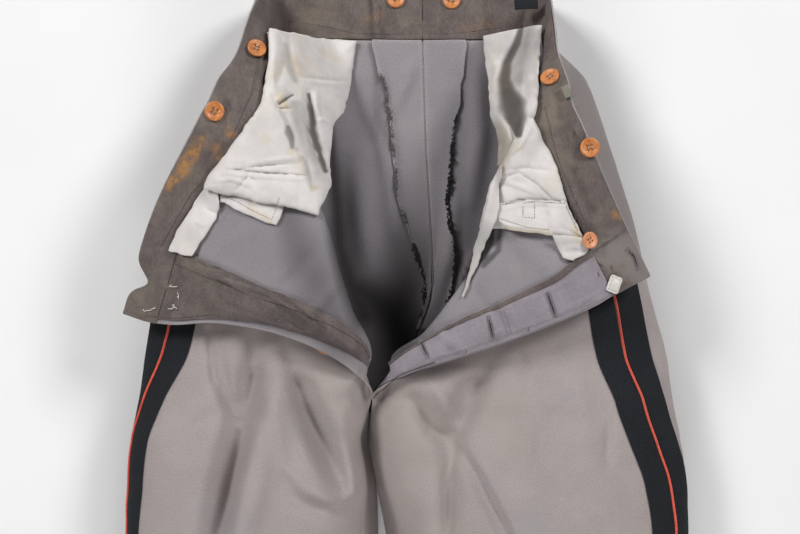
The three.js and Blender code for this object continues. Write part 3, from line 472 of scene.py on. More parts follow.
def pieceMesh(name, outer, inner, uv, marks):  # one grid that runs round the edge onto the other face, then is welded
    rows, columns = outer.shape[:2]
    around = lambda a, b: np.concatenate([a, b[:, ::-1][:, 1:]], axis=1)
    points = around(outer, inner) * metre
    points[..., 0] += planShift[0] * metre
    points[..., 1] += planShift[1] * metre
    width = points.shape[1]
    bm = bmesh.new()
    bmesh.ops.create_grid(bm, x_segments=width - 1, y_segments=rows - 1, size=1)
    mesh = bpy.data.meshes.new(name)
    bm.to_mesh(mesh)
    bm.free()
    mesh.vertices.foreach_set("co", points.reshape(-1))
    corners = np.empty(len(mesh.loops), int)
    mesh.loops.foreach_get("vertex_index", corners)
    flat = around(uv, uv).reshape(-1, 2) * metre
    mesh.uv_layers.new(name="cloth").uv.foreach_set("vector", flat[corners].reshape(-1))
    zeros = np.zeros((rows, columns))
    marks = {"inside": (zeros, zeros + 1), **marks}
    for mark, (onOuter, onInner) in marks.items():
        values = around(onOuter[..., None], onInner[..., None]).reshape(-1)
        mesh.attributes.new(mark, "FLOAT", "POINT").data.foreach_set("value", values.astype(np.float32))
    bm = bmesh.new()
    bm.from_mesh(mesh)
    bmesh.ops.remove_doubles(bm, verts=bm.verts, dist=1e-7)
    bmesh.ops.recalc_face_normals(bm, faces=bm.faces)
    for face in bm.faces:
        face.smooth = True
    bm.to_mesh(mesh)
    bm.free()
    return mesh


surfaces = {}  # what later pieces are laid and sewn on: the faces that look up
# a sheet is declared no narrower and no barer than this
leastSheet = {"side": 0.0101, "share": 0.305}  # a sheet's measured sides and area are held no narrower and no barer than this


def clothPiece(name, grid, offset, thick, material, nodes=(), restsOn=(), marks=None, face="inner"):
    n = gridNormals(grid["p"], grid["n"])
    swell = np.sqrt(1 - (1 - np.minimum(grid["edge"] / wallRound, 1)) ** 2)[..., None]
    centre = grid["p"] + n * (offset + thick / 2)
    outer = centre + n * swell * thick / 2
    inner = centre - n * swell * thick / 2
    for side in (outer, inner):
        side[..., 2] = np.maximum(side[..., 2], 0.02)
    uv = np.stack([grid["across"], grid["at"]], axis=-1)
    mesh = pieceMesh(name, outer, inner, uv, marks or {})
    mesh.materials.append(material)
    piece = bpy.data.objects.new(name, mesh)
    bpy.context.scene.collection.objects.link(piece)
    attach(piece, "root")
    if nodes:
        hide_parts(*nodes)
    steps = np.diff(centre, axis=1)[:-1], np.diff(centre, axis=0)[:, :-1]
    du, dv = (np.linalg.norm(step, axis=-1) for step in steps)
    area = float(np.linalg.norm(np.cross(*steps), axis=-1).sum()) * metre ** 2
    width = float(du.sum(axis=1).max()) * metre
    length = float(dv.sum(axis=0).max()) * metre
    width, length = max(width, leastSheet["side"]), max(length, leastSheet["side"])
    area = min(max(area, leastSheet["share"] * width * length), width * length)
    surfaces[name] = {"p": inner if face == "inner" else outer, "grid": grid}


class Field:  # wraps one output socket, so that shader maths reads as maths
    def __init__(self, build, socket):
        self.build, self.socket = build, socket

    def maths(self, operation, *values):
        return self.build.node("Math", {"operation": operation}, dict(enumerate(values)))

    def __add__(self, other): return self.maths("ADD", self, other)
    def __radd__(self, other): return self.maths("ADD", other, self)
    def __mul__(self, other): return self.maths("MULTIPLY", self, other)
    def __rmul__(self, other): return self.maths("MULTIPLY", other, self)
    def wave(self): return self.maths("SINE", self)

    def between(self, low, high):  # 0 below low, 1 above high
        limits = {"Value": self, "From Min": low, "From Max": high}
        return self.build.node("MapRange", {"interpolation_type": "SMOOTHSTEP"}, limits)


class MaterialBuild:
    def __init__(self, name):
        self.material = bpy.data.materials.new(name)
        self.material.use_nodes = True
        self.tree = self.material.node_tree
        self.shader = self.tree.nodes["Principled BSDF"]

    def node(self, kind, settings=None, inputs=None, output=0):
        node = self.tree.nodes.new("ShaderNode" + kind)
        for key, value in (settings or {}).items():
            setattr(node, key, value)
        for key, value in (inputs or {}).items():
            self.feed(node.inputs[key], value)
        return Field(self, node.outputs[output])

    def feed(self, socket, value):
        if isinstance(value, Field):
            self.tree.links.new(value.socket, socket)
        else:
            socket.default_value = value

    def mix(self, share, a, b):
        colours = [c if isinstance(c, Field) else (*c, 1) for c in (a, b)]
        return self.node("Mix", {"data_type": "RGBA"}, {0: share, 6: colours[0], 7: colours[1]}, output=2)

    def place(self):
        return self.node("TexCoord", output=3)

    def cloth(self):
        return self.node("UVMap", {"uv_map": "cloth"})

    def mark(self, name):
        return self.node("Attribute", {"attribute_name": name}, output=2)

    def noise(self, where, scale, detail=2.0, roughness=0.5, stretch=None, turn=0.0):
        if stretch:
            where = self.node("Mapping", {}, {"Vector": where, "Scale": stretch, "Rotation": (0, 0, turn)})
        settings = {"Vector": where, "Scale": scale, "Detail": detail, "Roughness": roughness}
        return self.node("TexNoise", {}, settings)

    def twill(self, where, spacing, slope=1.0):  # diagonal ribs, as a wave from -1 to 1
        parts = self.node("SeparateXYZ", {}, {0: where})
        x, y = parts, Field(self, parts.socket.node.outputs[1])
        return ((x + y * slope) * (2 * math.pi / spacing)).wave()

    def bump(self, height, strength, distance):
        return self.node("Bump", {}, {"Strength": strength, "Distance": distance, "Height": height})

    def done(self, colour, roughness, normal=None, **fixed):
        self.feed(self.shader.inputs["Base Color"], colour if isinstance(colour, Field) else (*colour, 1))
        self.feed(self.shader.inputs["Roughness"], roughness)
        if normal:
            self.feed(self.shader.inputs["Normal"], normal)
        for key, value in fixed.items():
            self.shader.inputs[key.replace("_", " ")].default_value = value
        return self.material


woolLook = {  # colours, how fine each pattern is, and how strongly it shows
    "light": (0.44, 0.385, 0.375), "dark": (0.265, 0.228, 0.222),
    "insideLight": (0.335, 0.308, 0.330), "insideDark": (0.195, 0.178, 0.193),
    # paintedShade is the near black that the painted shade mixes the wool towards
    "worn": (0.50, 0.44, 0.41), "paintedShade": (0.034, 0.031, 0.032),
    "tinge": (0.37, 0.325, 0.285), "cool": (0.31, 0.30, 0.315),
    "fleckScale": 760, "grainScale": 1700, "mottleScale": 22, "tingeScale": 9, "coolScale": 13, "napScale": 900,
    "fleck": 0.42, "grain": 0.3, "mottle": 0.2, "least": 0.06, "tingeShare": 0.45, "coolShare": 0.4,
    "ribs": 0.0011, "ribHeight": 0.25, "rough": 0.93, "bump": (0.45, 0.0005),
}


def makeWool():
    m, look = MaterialBuild("greyWool"), woolLook
    where, cloth = m.place(), m.cloth()
    fleck = m.noise(cloth, look["fleckScale"], 3.0, 0.7, (1.0, 0.7, 1.0)).between(0.3, 0.72)
    grain = m.noise(cloth, look["grainScale"], 2.0, 0.6).between(0.25, 0.75)
    mottle = m.noise(where, look["mottleScale"], 3.0, 0.6).between(0.3, 0.7)
    tone = fleck * look["fleck"] + grain * look["grain"] + mottle * look["mottle"] + look["least"]
    outside = m.mix(tone, look["dark"], look["light"])
    within = m.mix(tone, look["insideDark"], look["insideLight"])
    colour = m.mix(m.mark("inside"), outside, within)
    tinge = m.noise(where, look["tingeScale"], 3.0, 0.6).between(0.52, 0.75)
    colour = m.mix(tinge * look["tingeShare"], colour, look["tinge"])
    cool = m.noise(where, look["coolScale"], 3.0, 0.6, (1.0, 1.0, 1.0), 1.3).between(0.52, 0.74)
    colour = m.mix(cool * look["coolShare"], colour, look["cool"])
    colour = m.mix(m.mark("wear") * (0.3 + fleck * 0.5), colour, look["worn"])
    # painted shade: the shade mark darkens the wool in the hollow, in gaps and beside folds
    colour = m.mix(m.mark("shade"), colour, look["paintedShade"])
    ribs = m.twill(cloth, look["ribs"]) * look["ribHeight"]
    height = m.noise(cloth, look["napScale"], 3.0, 0.75) + fleck * 0.4 + ribs
    normal = m.bump(height, *look["bump"])
    return m.done(colour, look["rough"], normal, Sheen_Weight=0.1, Sheen_Roughness=0.6, Specular_IOR_Level=0.15)


facingLooks = {  # spacing, slope and strength of the twill's ribs, and how much olive and plum comes in
    "waist": {"light": (0.190, 0.155, 0.145), "dark": (0.072, 0.058, 0.054),
              "spacing": 0.0026, "slope": 1.3, "ribs": 0.16, "patches": 0.5},
    "underlap": {"light": (0.190, 0.156, 0.148), "dark": (0.050, 0.040, 0.039),
                 "spacing": 0.0026, "slope": -0.8, "ribs": 0.25, "patches": 0.3},
    "fly": {"light": (0.335, 0.302, 0.338), "dark": (0.215, 0.192, 0.215),
            "spacing": 0.0022, "slope": -1.2, "ribs": 0.10, "patches": 0.0},
    "loop": {"light": (0.27, 0.26, 0.205), "dark": (0.15, 0.145, 0.11),
             "spacing": 0.0024, "slope": 1.2, "ribs": 0.15, "patches": 0.0},
}
facingColours = {
    "olive": (0.235, 0.195, 0.145), "plum": (0.088, 0.066, 0.070),
    "pale": (0.245, 0.215, 0.205), "dim": (0.045, 0.033, 0.034), "stain": (0.41, 0.20, 0.06),
}
facingScales = {"slubs": 420, "mottle": 34, "fine": 1100, "rubbed": 85, "olive": 19, "plum": 27, "blotch": 150}


def makeFacing(name, look):
    m, scales = MaterialBuild(name), facingScales
    where, cloth = m.place(), m.cloth()
    ribs = m.twill(where, look["spacing"], look["slope"]) * 0.5 + 0.5
    slubs = m.noise(cloth, scales["slubs"], 3.0, 0.65, (1.0, 0.6, 1.0), 0.78).between(0.3, 0.7)
    mottle = m.noise(where, scales["mottle"], 4.0, 0.65).between(0.3, 0.7)
    fine = m.noise(cloth, scales["fine"], 2.0, 0.6)
    rubbed = m.noise(where, scales["rubbed"], 5.0, 0.75, (1.0, 0.5, 1.0), 0.6).between(0.38, 0.66)
    tone = ribs * look["ribs"] + slubs * (0.4 - look["ribs"] / 2) + mottle * 0.24 + rubbed * 0.22 + fine * 0.12
    colour = m.mix(tone, look["dark"], look["light"])
    olive = m.noise(where, scales["olive"], 4.0, 0.65).between(0.46, 0.68)
    colour = m.mix(olive * look["patches"], colour, facingColours["olive"])
    plum = m.noise(where, scales["plum"], 4.0, 0.65, (1.0, 1.0, 1.0), 2.1).between(0.5, 0.7)
    colour = m.mix(plum * look["patches"], colour, facingColours["plum"])
    colour = m.mix(m.mark("pale") * (0.5 + fine * 0.6), colour, facingColours["pale"])
    colour = m.mix(m.mark("shade") * (0.4 + mottle * 0.5), colour, facingColours["dim"])
    blotch = m.noise(where, scales["blotch"], 4.0, 0.75).between(0.38, 0.62)
    colour = m.mix(m.mark("stain") * (0.25 + blotch * 0.75), colour, facingColours["stain"])
    height = ribs * 0.5 + slubs * 0.5 + fine * 0.4
    return m.done(colour, 0.85, m.bump(height, 0.5, 0.0005), Sheen_Weight=0.05, Specular_IOR_Level=0.15)


cottonLook = {
    "light": (0.72, 0.685, 0.665), "dark": (0.56, 0.53, 0.515),
    "yellow": (0.60, 0.47, 0.27), "grime": (0.36, 0.325, 0.29), "shade": (0.062, 0.052, 0.043),
    "weaveScale": 1300, "mottleScale": 38, "yellowScale": 17, "blotchScale": 120, "creaseScale": 60,
    "mottle": 0.7, "weave": 0.3, "yellowed": 0.22, "rough": 0.9, "bump": (0.45, 0.0016),
}


def makeCotton():
    m, look = MaterialBuild("pocketCotton"), cottonLook
    where, cloth = m.place(), m.cloth()
    weave = m.noise(cloth, look["weaveScale"], 2.0, 0.6)
    mottle = m.noise(where, look["mottleScale"], 4.0, 0.65).between(0.3, 0.72)
    colour = m.mix(mottle * look["mottle"] + weave * look["weave"], look["dark"], look["light"])
    yellow = m.noise(where, look["yellowScale"], 3.0, 0.6).between(0.5, 0.78)
    colour = m.mix(yellow * look["yellowed"], colour, look["yellow"])
    blotch = m.noise(where, look["blotchScale"], 3.0, 0.7).between(0.3, 0.7)
    colour = m.mix(m.mark("yellow") * (0.45 + blotch * 0.55), colour, look["yellow"])
    colour = m.mix(m.mark("stain"), colour, look["grime"])
    colour = m.mix(m.mark("shade"), colour, look["shade"])
    height = m.noise(cloth, look["creaseScale"], 4.0, 0.7, (1.0, 0.4, 1.0), 0.5) + weave * 0.12
    return m.done(colour, look["rough"], m.bump(height, *look["bump"]), Specular_IOR_Level=0.25)


bandLook = {
    "light": (0.025, 0.0275, 0.032), "dark": (0.009, 0.0098, 0.0115),
    "fleckScale": 600, "mottleScale": 40, "napScale": 1000, "fleck": 0.6, "mottle": 0.4, "rough": 0.9,
}


def makeBand():
    m, look = MaterialBuild("blackBandCloth"), bandLook
    where, cloth = m.place(), m.cloth()
    fleck = m.noise(cloth, look["fleckScale"], 3.0, 0.7).between(0.3, 0.75)
    mottle = m.noise(where, look["mottleScale"], 3.0, 0.6)
    colour = m.mix(fleck * look["fleck"] + mottle * look["mottle"], look["dark"], look["light"])
    height = m.noise(cloth, look["napScale"], 2.0, 0.7) + fleck * 0.4
    return m.done(colour, look["rough"], m.bump(height, 0.4, 0.0005), Sheen_Weight=0.02, Specular_IOR_Level=0.1)


pipingLook = {"light": (0.86, 0.115, 0.06), "dark": (0.58, 0.06, 0.035), "fleckScale": 700, "rough": 0.85}


def makePiping():
    m, look = MaterialBuild("redPiping"), pipingLook
    fleck = m.noise(m.cloth(), look["fleckScale"], 3.0, 0.7, (1.0, 0.5, 1.0)).between(0.3, 0.7)
    colour = m.mix(fleck, look["dark"], look["light"])
    return m.done(colour, look["rough"], m.bump(fleck, 0.4, 0.0005), Sheen_Weight=0.3, Specular_IOR_Level=0.3)


buttonLooks = {
    "brace": {"light": (0.66, 0.255, 0.078), "dark": (0.42, 0.135, 0.035)},
    "small": {"light": (0.74, 0.33, 0.16), "dark": (0.56, 0.22, 0.095)},
}
buttonGrain = {"grainScale": 260, "spotScale": 900, "grain": 0.8, "spots": 0.2, "gloss": 0.34, "dull": 0.12}


def makeButton(name, look):
    m, fine = MaterialBuild(name), buttonGrain
    where = m.place()
    grain = m.noise(where, fine["grainScale"], 4.0, 0.65, (1.0, 0.35, 1.0), 0.6).between(0.3, 0.72)
    spots = m.noise(where, fine["spotScale"], 2.0, 0.5).between(0.55, 0.7)
    colour = m.mix(grain * fine["grain"] + spots * fine["spots"], look["dark"], look["light"])
    return m.done(colour, fine["gloss"] + grain * fine["dull"], m.bump(grain, 0.15, 0.0003), Specular_IOR_Level=0.5)


threadColours = {  # light and dark of each thread's twist
    "black": ((0.030, 0.028, 0.028), (0.008, 0.008, 0.008)),
    "brown": ((0.085, 0.068, 0.058), (0.030, 0.024, 0.021)),
    "grey": ((0.26, 0.235, 0.225), (0.14, 0.125, 0.118)),
    "hole": ((0.245, 0.22, 0.24), (0.155, 0.138, 0.148)),
    "dust": ((0.15, 0.135, 0.13), (0.07, 0.062, 0.06)),
    "pale": ((0.52, 0.45, 0.37), (0.34, 0.29, 0.24)),
    "seam": ((0.27, 0.25, 0.265), (0.16, 0.147, 0.157)),
    "white": ((0.86, 0.84, 0.80), (0.66, 0.63, 0.58)),
}


def makeThread(name, light, dark):
    m = MaterialBuild(name)
    twist = m.noise(m.place(), 900, 2.0, 0.6).between(0.3, 0.7)
    return m.done(m.mix(twist, dark, light), 0.8, m.bump(twist, 0.3, 0.0002), Specular_IOR_Level=0.3)


metalLook = {
    "light": (0.80, 0.77, 0.72), "dark": (0.42, 0.38, 0.33),
    "tarnishScale": 320, "tarnish": 0.4, "metallic": 0.25,
}


def makeMetal():
    m, look = MaterialBuild("hookMetal"), metalLook
    tarnish = m.noise(m.place(), look["tarnishScale"], 5.0, 0.7).between(0.38, 0.62)
    colour = m.mix(tarnish * look["tarnish"], look["light"], look["dark"])
    rough = 0.42 + tarnish * 0.25
    return m.done(colour, rough, m.bump(tarnish, 0.04, 0.0002), Metallic=look["metallic"])


floorLook = {"light": (0.82, 0.82, 0.82), "dark": (0.79, 0.79, 0.79), "scale": 2.5, "rough": 0.75}


def makeFloor():
    m, look = MaterialBuild("paleTable"), floorLook
    soft = m.noise(m.place(), look["scale"], 3.0, 0.6).between(0.3, 0.7)
    return m.done(m.mix(soft, look["dark"], look["light"]), look["rough"], Specular_IOR_Level=0.2)


wool, cotton = makeWool(), makeCotton()
facingCloths = {part: makeFacing(part + "Facing", look) for part, look in facingLooks.items()}
bandCloth, pipingCloth, metal = makeBand(), makePiping(), makeMetal()
corozos = {kind: makeButton(kind + "Corozo", look) for kind, look in buttonLooks.items()}
threads = {kind: makeThread(kind + "Thread", *colours) for kind, colours in threadColours.items()}
print("materials ready")


# fronts, backs, side bands and piping
bandSizes = {"from": 1.65, "to": 27.15, "thick": 1.2, "pipingHalf": 1.15, "pipingThick": 2.4, "topLevel": 1067}


def sideGap(at):
    return float(mix(wallSizes["sewn"], wallSizes["gap"], smooth(at, 1000, 1060)))


def rowLevels(start, end, fine=2.6, coarse=11.0, fineFrom=560):
    inner = []
    at = start + wallRound
    while at < end - wallRound - 0.5:
        inner.append(at)
        at += coarse if at < fineFrom else fine
    return np.concatenate([start + edgeSteps, inner, [end - wallRound], end - edgeSteps[::-1]])


def frontEnds(half):
    def ends(at):
        total = half.lengthAt(at, 11) - (wallSizes["gap"] if at < wallSizes["crotch"] else 0)
        return half.lengthAt(at, half.seam(at)) + sideGap(at) / 2, total
    return ends


def backEnds(half):
    return lambda at: (0, half.lengthAt(at, half.seam(at)) - sideGap(at) / 2)


def besideSeam(half, first, last):
    def ends(at):
        seam = half.lengthAt(at, half.seam(at))
        return seam + first, seam + last
    return ends


def edgeWear(grid, reach=7.0):  # nap rubbed off along the free edges
    near = np.clip(1 - grid["edge"] / reach, 0, 1) ** 2
    rub = 0.5 + 0.5 * unevenness(grid["p"], 18, 11)
    wear = np.clip(near * rub * 0.9, 0, 1)
    return {"wear": (wear, wear)}


strokeEdges = {"soft": 2, "ragged": 4, "even": 6}  # how steeply a stroke ends at its sides


def painted(table, grid):  # a value from 0 to 1 for each kind of mark
    x, y = grid["p"][..., 0], grid["p"][..., 1]
    wobble = 1 + 0.35 * unevenness(grid["p"], 6, 21)
    marks = {mark: np.zeros_like(x) for mark in table}
    for mark, strokes in table.items():
        for stroke in strokes:
            path = np.array(stroke["path"], float)
            sides = stroke.get("edge", "ragged")
            for a, b in zip(path, path[1:]):
                d = (b - a)[:2]
                t = np.clip(((x - a[0]) * d[0] + (y - a[1]) * d[1]) / (d @ d), 0, 1)
                off = np.hypot(x - a[0] - t * d[0], y - a[1] - t * d[1]) / mix(a[2], b[2], t)
                if sides == "ragged":
                    off = off / wobble
                value = stroke["strength"] * np.exp(-(off ** strokeEdges[sides]))
                np.maximum(marks[mark], value, out=marks[mark])
    return {mark: (total, total) for mark, total in marks.items()}


innerPaintedShade = {  # painted shade inside, in the hollow, the gaps and beside the folds, as x, y and half width on the plan
    "shade": [
        {"path": [(-100, 50, 14), (-84, 8, 22), (-70, -22, 26), (-50, -60, 20)],
         "edge": "soft", "strength": 0.5},
        {"path": [(-150, 34, 40), (-110, 24, 44)], "edge": "soft", "strength": 0.15},
        {"path": [(-66, 136, 3), (-63, 100, 6), (-59, 62, 8), (-56, 20, 9), (-48, -10, 13), (-34, -44, 18)],
         "edge": "soft", "strength": 0.9},
        {"path": [(-38, -22, 16), (-16, -38, 24), (2, -60, 28), (8, -90, 26)],
         "edge": "soft", "strength": 0.88},
        {"path": [(13, 196, 3), (3, 182, 5), (-6, 168, 4)], "edge": "soft", "strength": 0.22},
        {"path": [(-22, 208, 3), (-20, 175, 4), (-19, 140, 5), (-10, 114, 4)],
         "edge": "soft", "strength": 0.42},
        {"path": [(-44, 176, 5), (-34, 146, 7), (-24, 120, 6)], "edge": "soft", "strength": 0.2},
        {"path": [(60, 208, 3), (58, 175, 5), (56, 145, 4)], "edge": "soft", "strength": 0.32},
        {"path": [(78, 214, 5), (80, 170, 7), (82, 120, 8), (76, 80, 8), (64, 20, 8)],
         "edge": "soft", "strength": 0.4},
        {"path": [(80, 42, 3), (80, 26, 5), (73, 10, 4.6), (66, 0, 3.4), (59, -15, 1.6)], "strength": 1.0},
        {"path": [(88, 42, 2.4), (86, 14, 2.8), (73, 1, 2)], "strength": 0.7},
    ],
}
# painted shade on the outer face, beyond the right waistband
outerPaintedShade = {
    "shade": [
        {"path": [(140, 224, 16), (170, 158, 24), (200, 78, 26), (216, 6, 22)],
         "edge": "soft", "strength": 0.3},
    ],
}


paintedShadeFrom = {"inside": (742, 790), "outside": (860, 900)}  # levels over which the painted shade comes in


def innerMarks(grid):  # the edges' wear on both faces, and painted shade inside and outside
    innerShade = painted(innerPaintedShade, grid)["shade"][0] * smooth(grid["at"], *paintedShadeFrom["inside"])
    outer = painted(outerPaintedShade, grid)["shade"][0] * smooth(grid["at"], *paintedShadeFrom["outside"])
    return {**edgeWear(grid), "shade": (outer, innerShade)}


# columns across each kind of piece
panelColumns = {
    "front": 150, "back": 84, "band": 14, "piping": 9,
    "waist": 250, "facing": 30, "binding": 12, "inlay": 26,
}
panelLevels = rowLevels(0, wallSizes["waistSeam"] - wallSizes["gap"])
bandLevels = rowLevels(0, bandSizes["topLevel"], fine=3.4, coarse=14)
for name, half in halves.items():
    front = crumple(panelGrid(half, panelLevels, frontEnds(half), panelColumns["front"]))
    clothPiece("frontPanel_" + name, front, -wallSizes["wool"], wallSizes["wool"], wool,
               ["front_" + name], marks=innerMarks(front))
    back = crumple(panelGrid(half, panelLevels, backEnds(half), panelColumns["back"]))
    clothPiece("backPanel_" + name, back, -wallSizes["wool"], wallSizes["wool"], wool,
               ["back_" + name], marks=innerMarks(back))
    near, far, pipingHalf = bandSizes["from"], bandSizes["to"], bandSizes["pipingHalf"]
    for side, first, last in (("front", near, far), ("back", -far, -near)):
        ends = besideSeam(half, first, last)
        band = crumple(panelGrid(half, bandLevels, ends, panelColumns["band"]))
        clothPiece("sideBand_" + side + "_" + name, band, wallSizes["gap"], bandSizes["thick"], bandCloth,
                   ["band_" + side + "_" + name], restsOn=[side + "Panel_" + name], face="outer")
    ends = besideSeam(half, -pipingHalf, pipingHalf)
    cord = crumple(panelGrid(half, bandLevels, ends, panelColumns["piping"]))
    clothPiece("sidePiping_" + name, cord, wallSizes["gap"], bandSizes["pipingThick"], pipingCloth,
               ["piping_" + name], restsOn=["frontPanel_" + name, "backPanel_" + name], face="outer")
print("panels and side bands ready")


# waistband with its facing, and the facings of the fly
notch = {"from": 34, "depth": 21, "width": 10}
rightFacingRows = [
    {"at": 742, "width": 12, "rim": 3},
    {"at": 800, "width": 22, "rim": 2},
    {"at": 911, "width": 38, "rim": 2.2},
    {"at": 1036, "width": 42, "rim": 2.2},
    {"at": 1121, "width": 42, "rim": 1.8},
]
leftFacingRows = [
    {"at": 774, "width": 14, "rim": 12.4},
    {"at": 800, "width": 27, "rim": 13.5},
    {"at": 846, "width": 39, "rim": 13},
    {"at": 911, "width": 50, "rim": 11},
    {"at": 1036, "width": 66, "rim": 5},
    {"at": 1121, "width": 72, "rim": 3},
]
waistRim = 1.9
facingFolds = [
    {"path": [(-32, 249), (-30, 230), (-27, 214)], "depth": 2.2, "width": 2.4},
    {"path": [(-16, 246), (-15, 226), (-12, 210)], "depth": 1.6, "width": 2.4},
    {"path": [(-50, 240), (-34, 228)], "depth": 1.4, "width": 3},
    {"path": [(-93, 247), (-65, 243), (-42, 246)], "depth": 1.2, "width": 2.5},
    {"path": [(-88, 226), (-66, 224), (-48, 221)], "depth": 1, "width": 2},
    {"path": [(0, 224), (37, 228), (56, 224)], "depth": 1, "width": 2.4},
    {"path": [(66, 243), (71, 228), (75, 217)], "depth": 1.3, "width": 3},
    {"path": [(30, 240), (60, 236)], "depth": 0.9, "width": 3},
    {"path": [(113, 236), (119, 224), (122, 208)], "depth": 0.8, "width": 2.4},
    {"path": [(96, 232), (110, 226)], "depth": 1, "width": 2.5},
    {"path": [(124, 160), (136, 155)], "depth": 0.9, "width": 1.6},
    {"path": [(121, 147), (133, 153), (140, 152)], "depth": 1, "width": 1.6},
    {"path": [(124, 131), (139, 135)], "depth": 0.9, "width": 1.8},
    {"path": [(131, 123), (151, 126)], "depth": 0.9, "width": 1.8},
    {"path": [(137, 110), (150, 116)], "depth": 0.9, "width": 1.8},
    {"path": [(150, 84), (158, 90), (168, 86)], "depth": 1.2, "width": 2.2},
    {"path": [(158, 68), (172, 80)], "depth": 1, "width": 2},
    {"path": [(162, 55), (178, 66)], "depth": 1, "width": 2},
    {"path": [(168, 38), (176, 47)], "depth": 0.8, "width": 1.8},
    {"path": [(-135, 183), (-140, 155), (-143, 135)], "depth": 1.4, "width": 2.4},
    {"path": [(-128, 170), (-131, 149)], "depth": 0.9, "width": 1.8},
    {"path": [(-156, 122), (-171, 100), (-185, 78)], "depth": 1.5, "width": 2.8},
    {"path": [(-164, 106), (-176, 84)], "depth": 0.9, "width": 1.8},
    {"path": [(-196, 54), (-186, 64)], "depth": 1, "width": 2},
    {"path": [(-211, 25), (-200, 45)], "depth": 1.2, "width": 2.4},
    {"path": [(-222, 9), (-208, 26)], "depth": 1, "width": 2},
    {"path": [(-150, 20), (-170, 2), (-196, -8)], "depth": 0.9, "width": 2},
    {"path": [(-178, 2), (-150, -12), (-118, -30), (-84, -52)], "depth": 1.1, "width": 1.2},
    {"path": [(-210, -14), (-196, -22), (-180, -24)], "depth": 0.9, "width": 1.6},
    {"path": [(-160, -34), (-128, -42), (-96, -54)], "depth": 0.8, "width": 1.6},
    {"path": [(35, -56), (52, -49), (78, -37)], "depth": 0.7, "width": 1.6},
    {"path": [(96, -34), (121, -24), (152, -10)], "depth": 0.8, "width": 1.8},
    {"path": [(139, -38), (166, -26), (186, -14)], "depth": 0.8, "width": 1.8},
    {"path": [(70, -64), (87, -55), (100, -53)], "depth": 0.8, "width": 1.8},
    {"path": [(20, -80), (44, -74), (66, -68)], "depth": 0.7, "width": 1.2},
]
facingMarks = {  # strokes of stain, fading and shadow, as x, y and half width on the plan
    "stain": [
        {"path": [(-174, 109, 6), (-181, 98, 6.5), (-189, 87, 6)], "strength": 0.9},
        {"path": [(-192, 80, 6), (-203, 72, 4.5)], "strength": 0.95},
        {"path": [(-161, 104, 5), (-158, 95, 4)], "strength": 0.55},
        {"path": [(-149, 119, 4), (-147, 116, 4)], "strength": 0.6},
        {"path": [(187, 47, 4), (192, 45, 3)], "strength": 0.6},
        {"path": [(-30, 230, 5), (-18, 236, 5)], "strength": 0.14},
        {"path": [(60, 222, 5), (84, 226, 6)], "strength": 0.14},
    ],
    "pale": [
        {"path": [(180, 10, 13), (196, 16, 17), (208, 6, 19), (216, -4, 15)], "strength": 1.0},
        {"path": [(-150, -10, 1), (-120, -20, 1.2), (-92, -36, 1)], "strength": 0.6},
    ],
    "shade": [
        {"path": [(169, 14, 1), (186, 26, 1.4), (197, 34, 1.2)], "strength": 0.8},
        {"path": [(150, 85, 3), (158, 70, 5), (166, 52, 4)], "strength": 0.5},
        {"path": [(139, 150, 2), (140, 128, 3)], "strength": 0.3},
        {"path": [(-152, 108, 2.5), (-160, 96, 3)], "strength": 0.5},
        {"path": [(-160, 80, 2), (-172, 62, 4), (-186, 44, 4)], "strength": 0.45},
        {"path": [(-176, 52, 2), (-162, 46, 3)], "strength": 0.6},
        {"path": [(-128, -18, 2), (-110, -26, 3), (-84, -50, 6), (-62, -68, 8), (-44, -78, 8)],
         "strength": 0.75},
        {"path": [(-176, 4, 1), (-140, -4, 1.2), (-100, -26, 1.4), (-64, -54, 1.4)], "strength": 0.7},
        {"path": [(-150, -30, 2), (-122, -44, 4), (-92, -62, 4)], "strength": 0.35},
        {"path": [(-197, -36, 3), (-212, -42, 5)], "strength": 0.35},
        {"path": [(-151, 142, 3), (-149, 137, 3.5)], "strength": 0.8},
        {"path": [(153, 113, 3), (157, 104, 3.5)], "strength": 0.65},
        {"path": [(-28, 252, 2.2), (-27, 226, 2.8), (-25, 210, 1.6)], "strength": 0.75},
        {"path": [(-19, 244, 1.4), (-17, 224, 2), (-15, 209, 2)], "strength": 0.6},
        {"path": [(-114, 242, 6), (-110, 222, 6), (-110, 214, 5)], "edge": "soft", "strength": 0.85},
        {"path": [(114, 232, 3), (116, 218, 4)], "edge": "soft", "strength": 0.5},
    ],
}


def rowValue(rows, key, at):
    return float(np.interp(at, [row["at"] for row in rows], [row[key] for row in rows]))


def wrinkled(grid):  # the thin facing puckers away from the wool under it
    p = grid["p"]
    lift = creaseHeight(facingFolds, p[..., 0], p[..., 1])
    lift += 0.45 * unevenness(p, 13, 61) + 0.3 * unevenness(p, 5.5, 62)
    lift = np.maximum(lift, 0) * np.clip(grid["edge"] / 4, 0, 1)
    return {**grid, "p": p - grid["n"] * lift[..., None]}


bandRows = 50  # fine rows that the notched band is drawn from


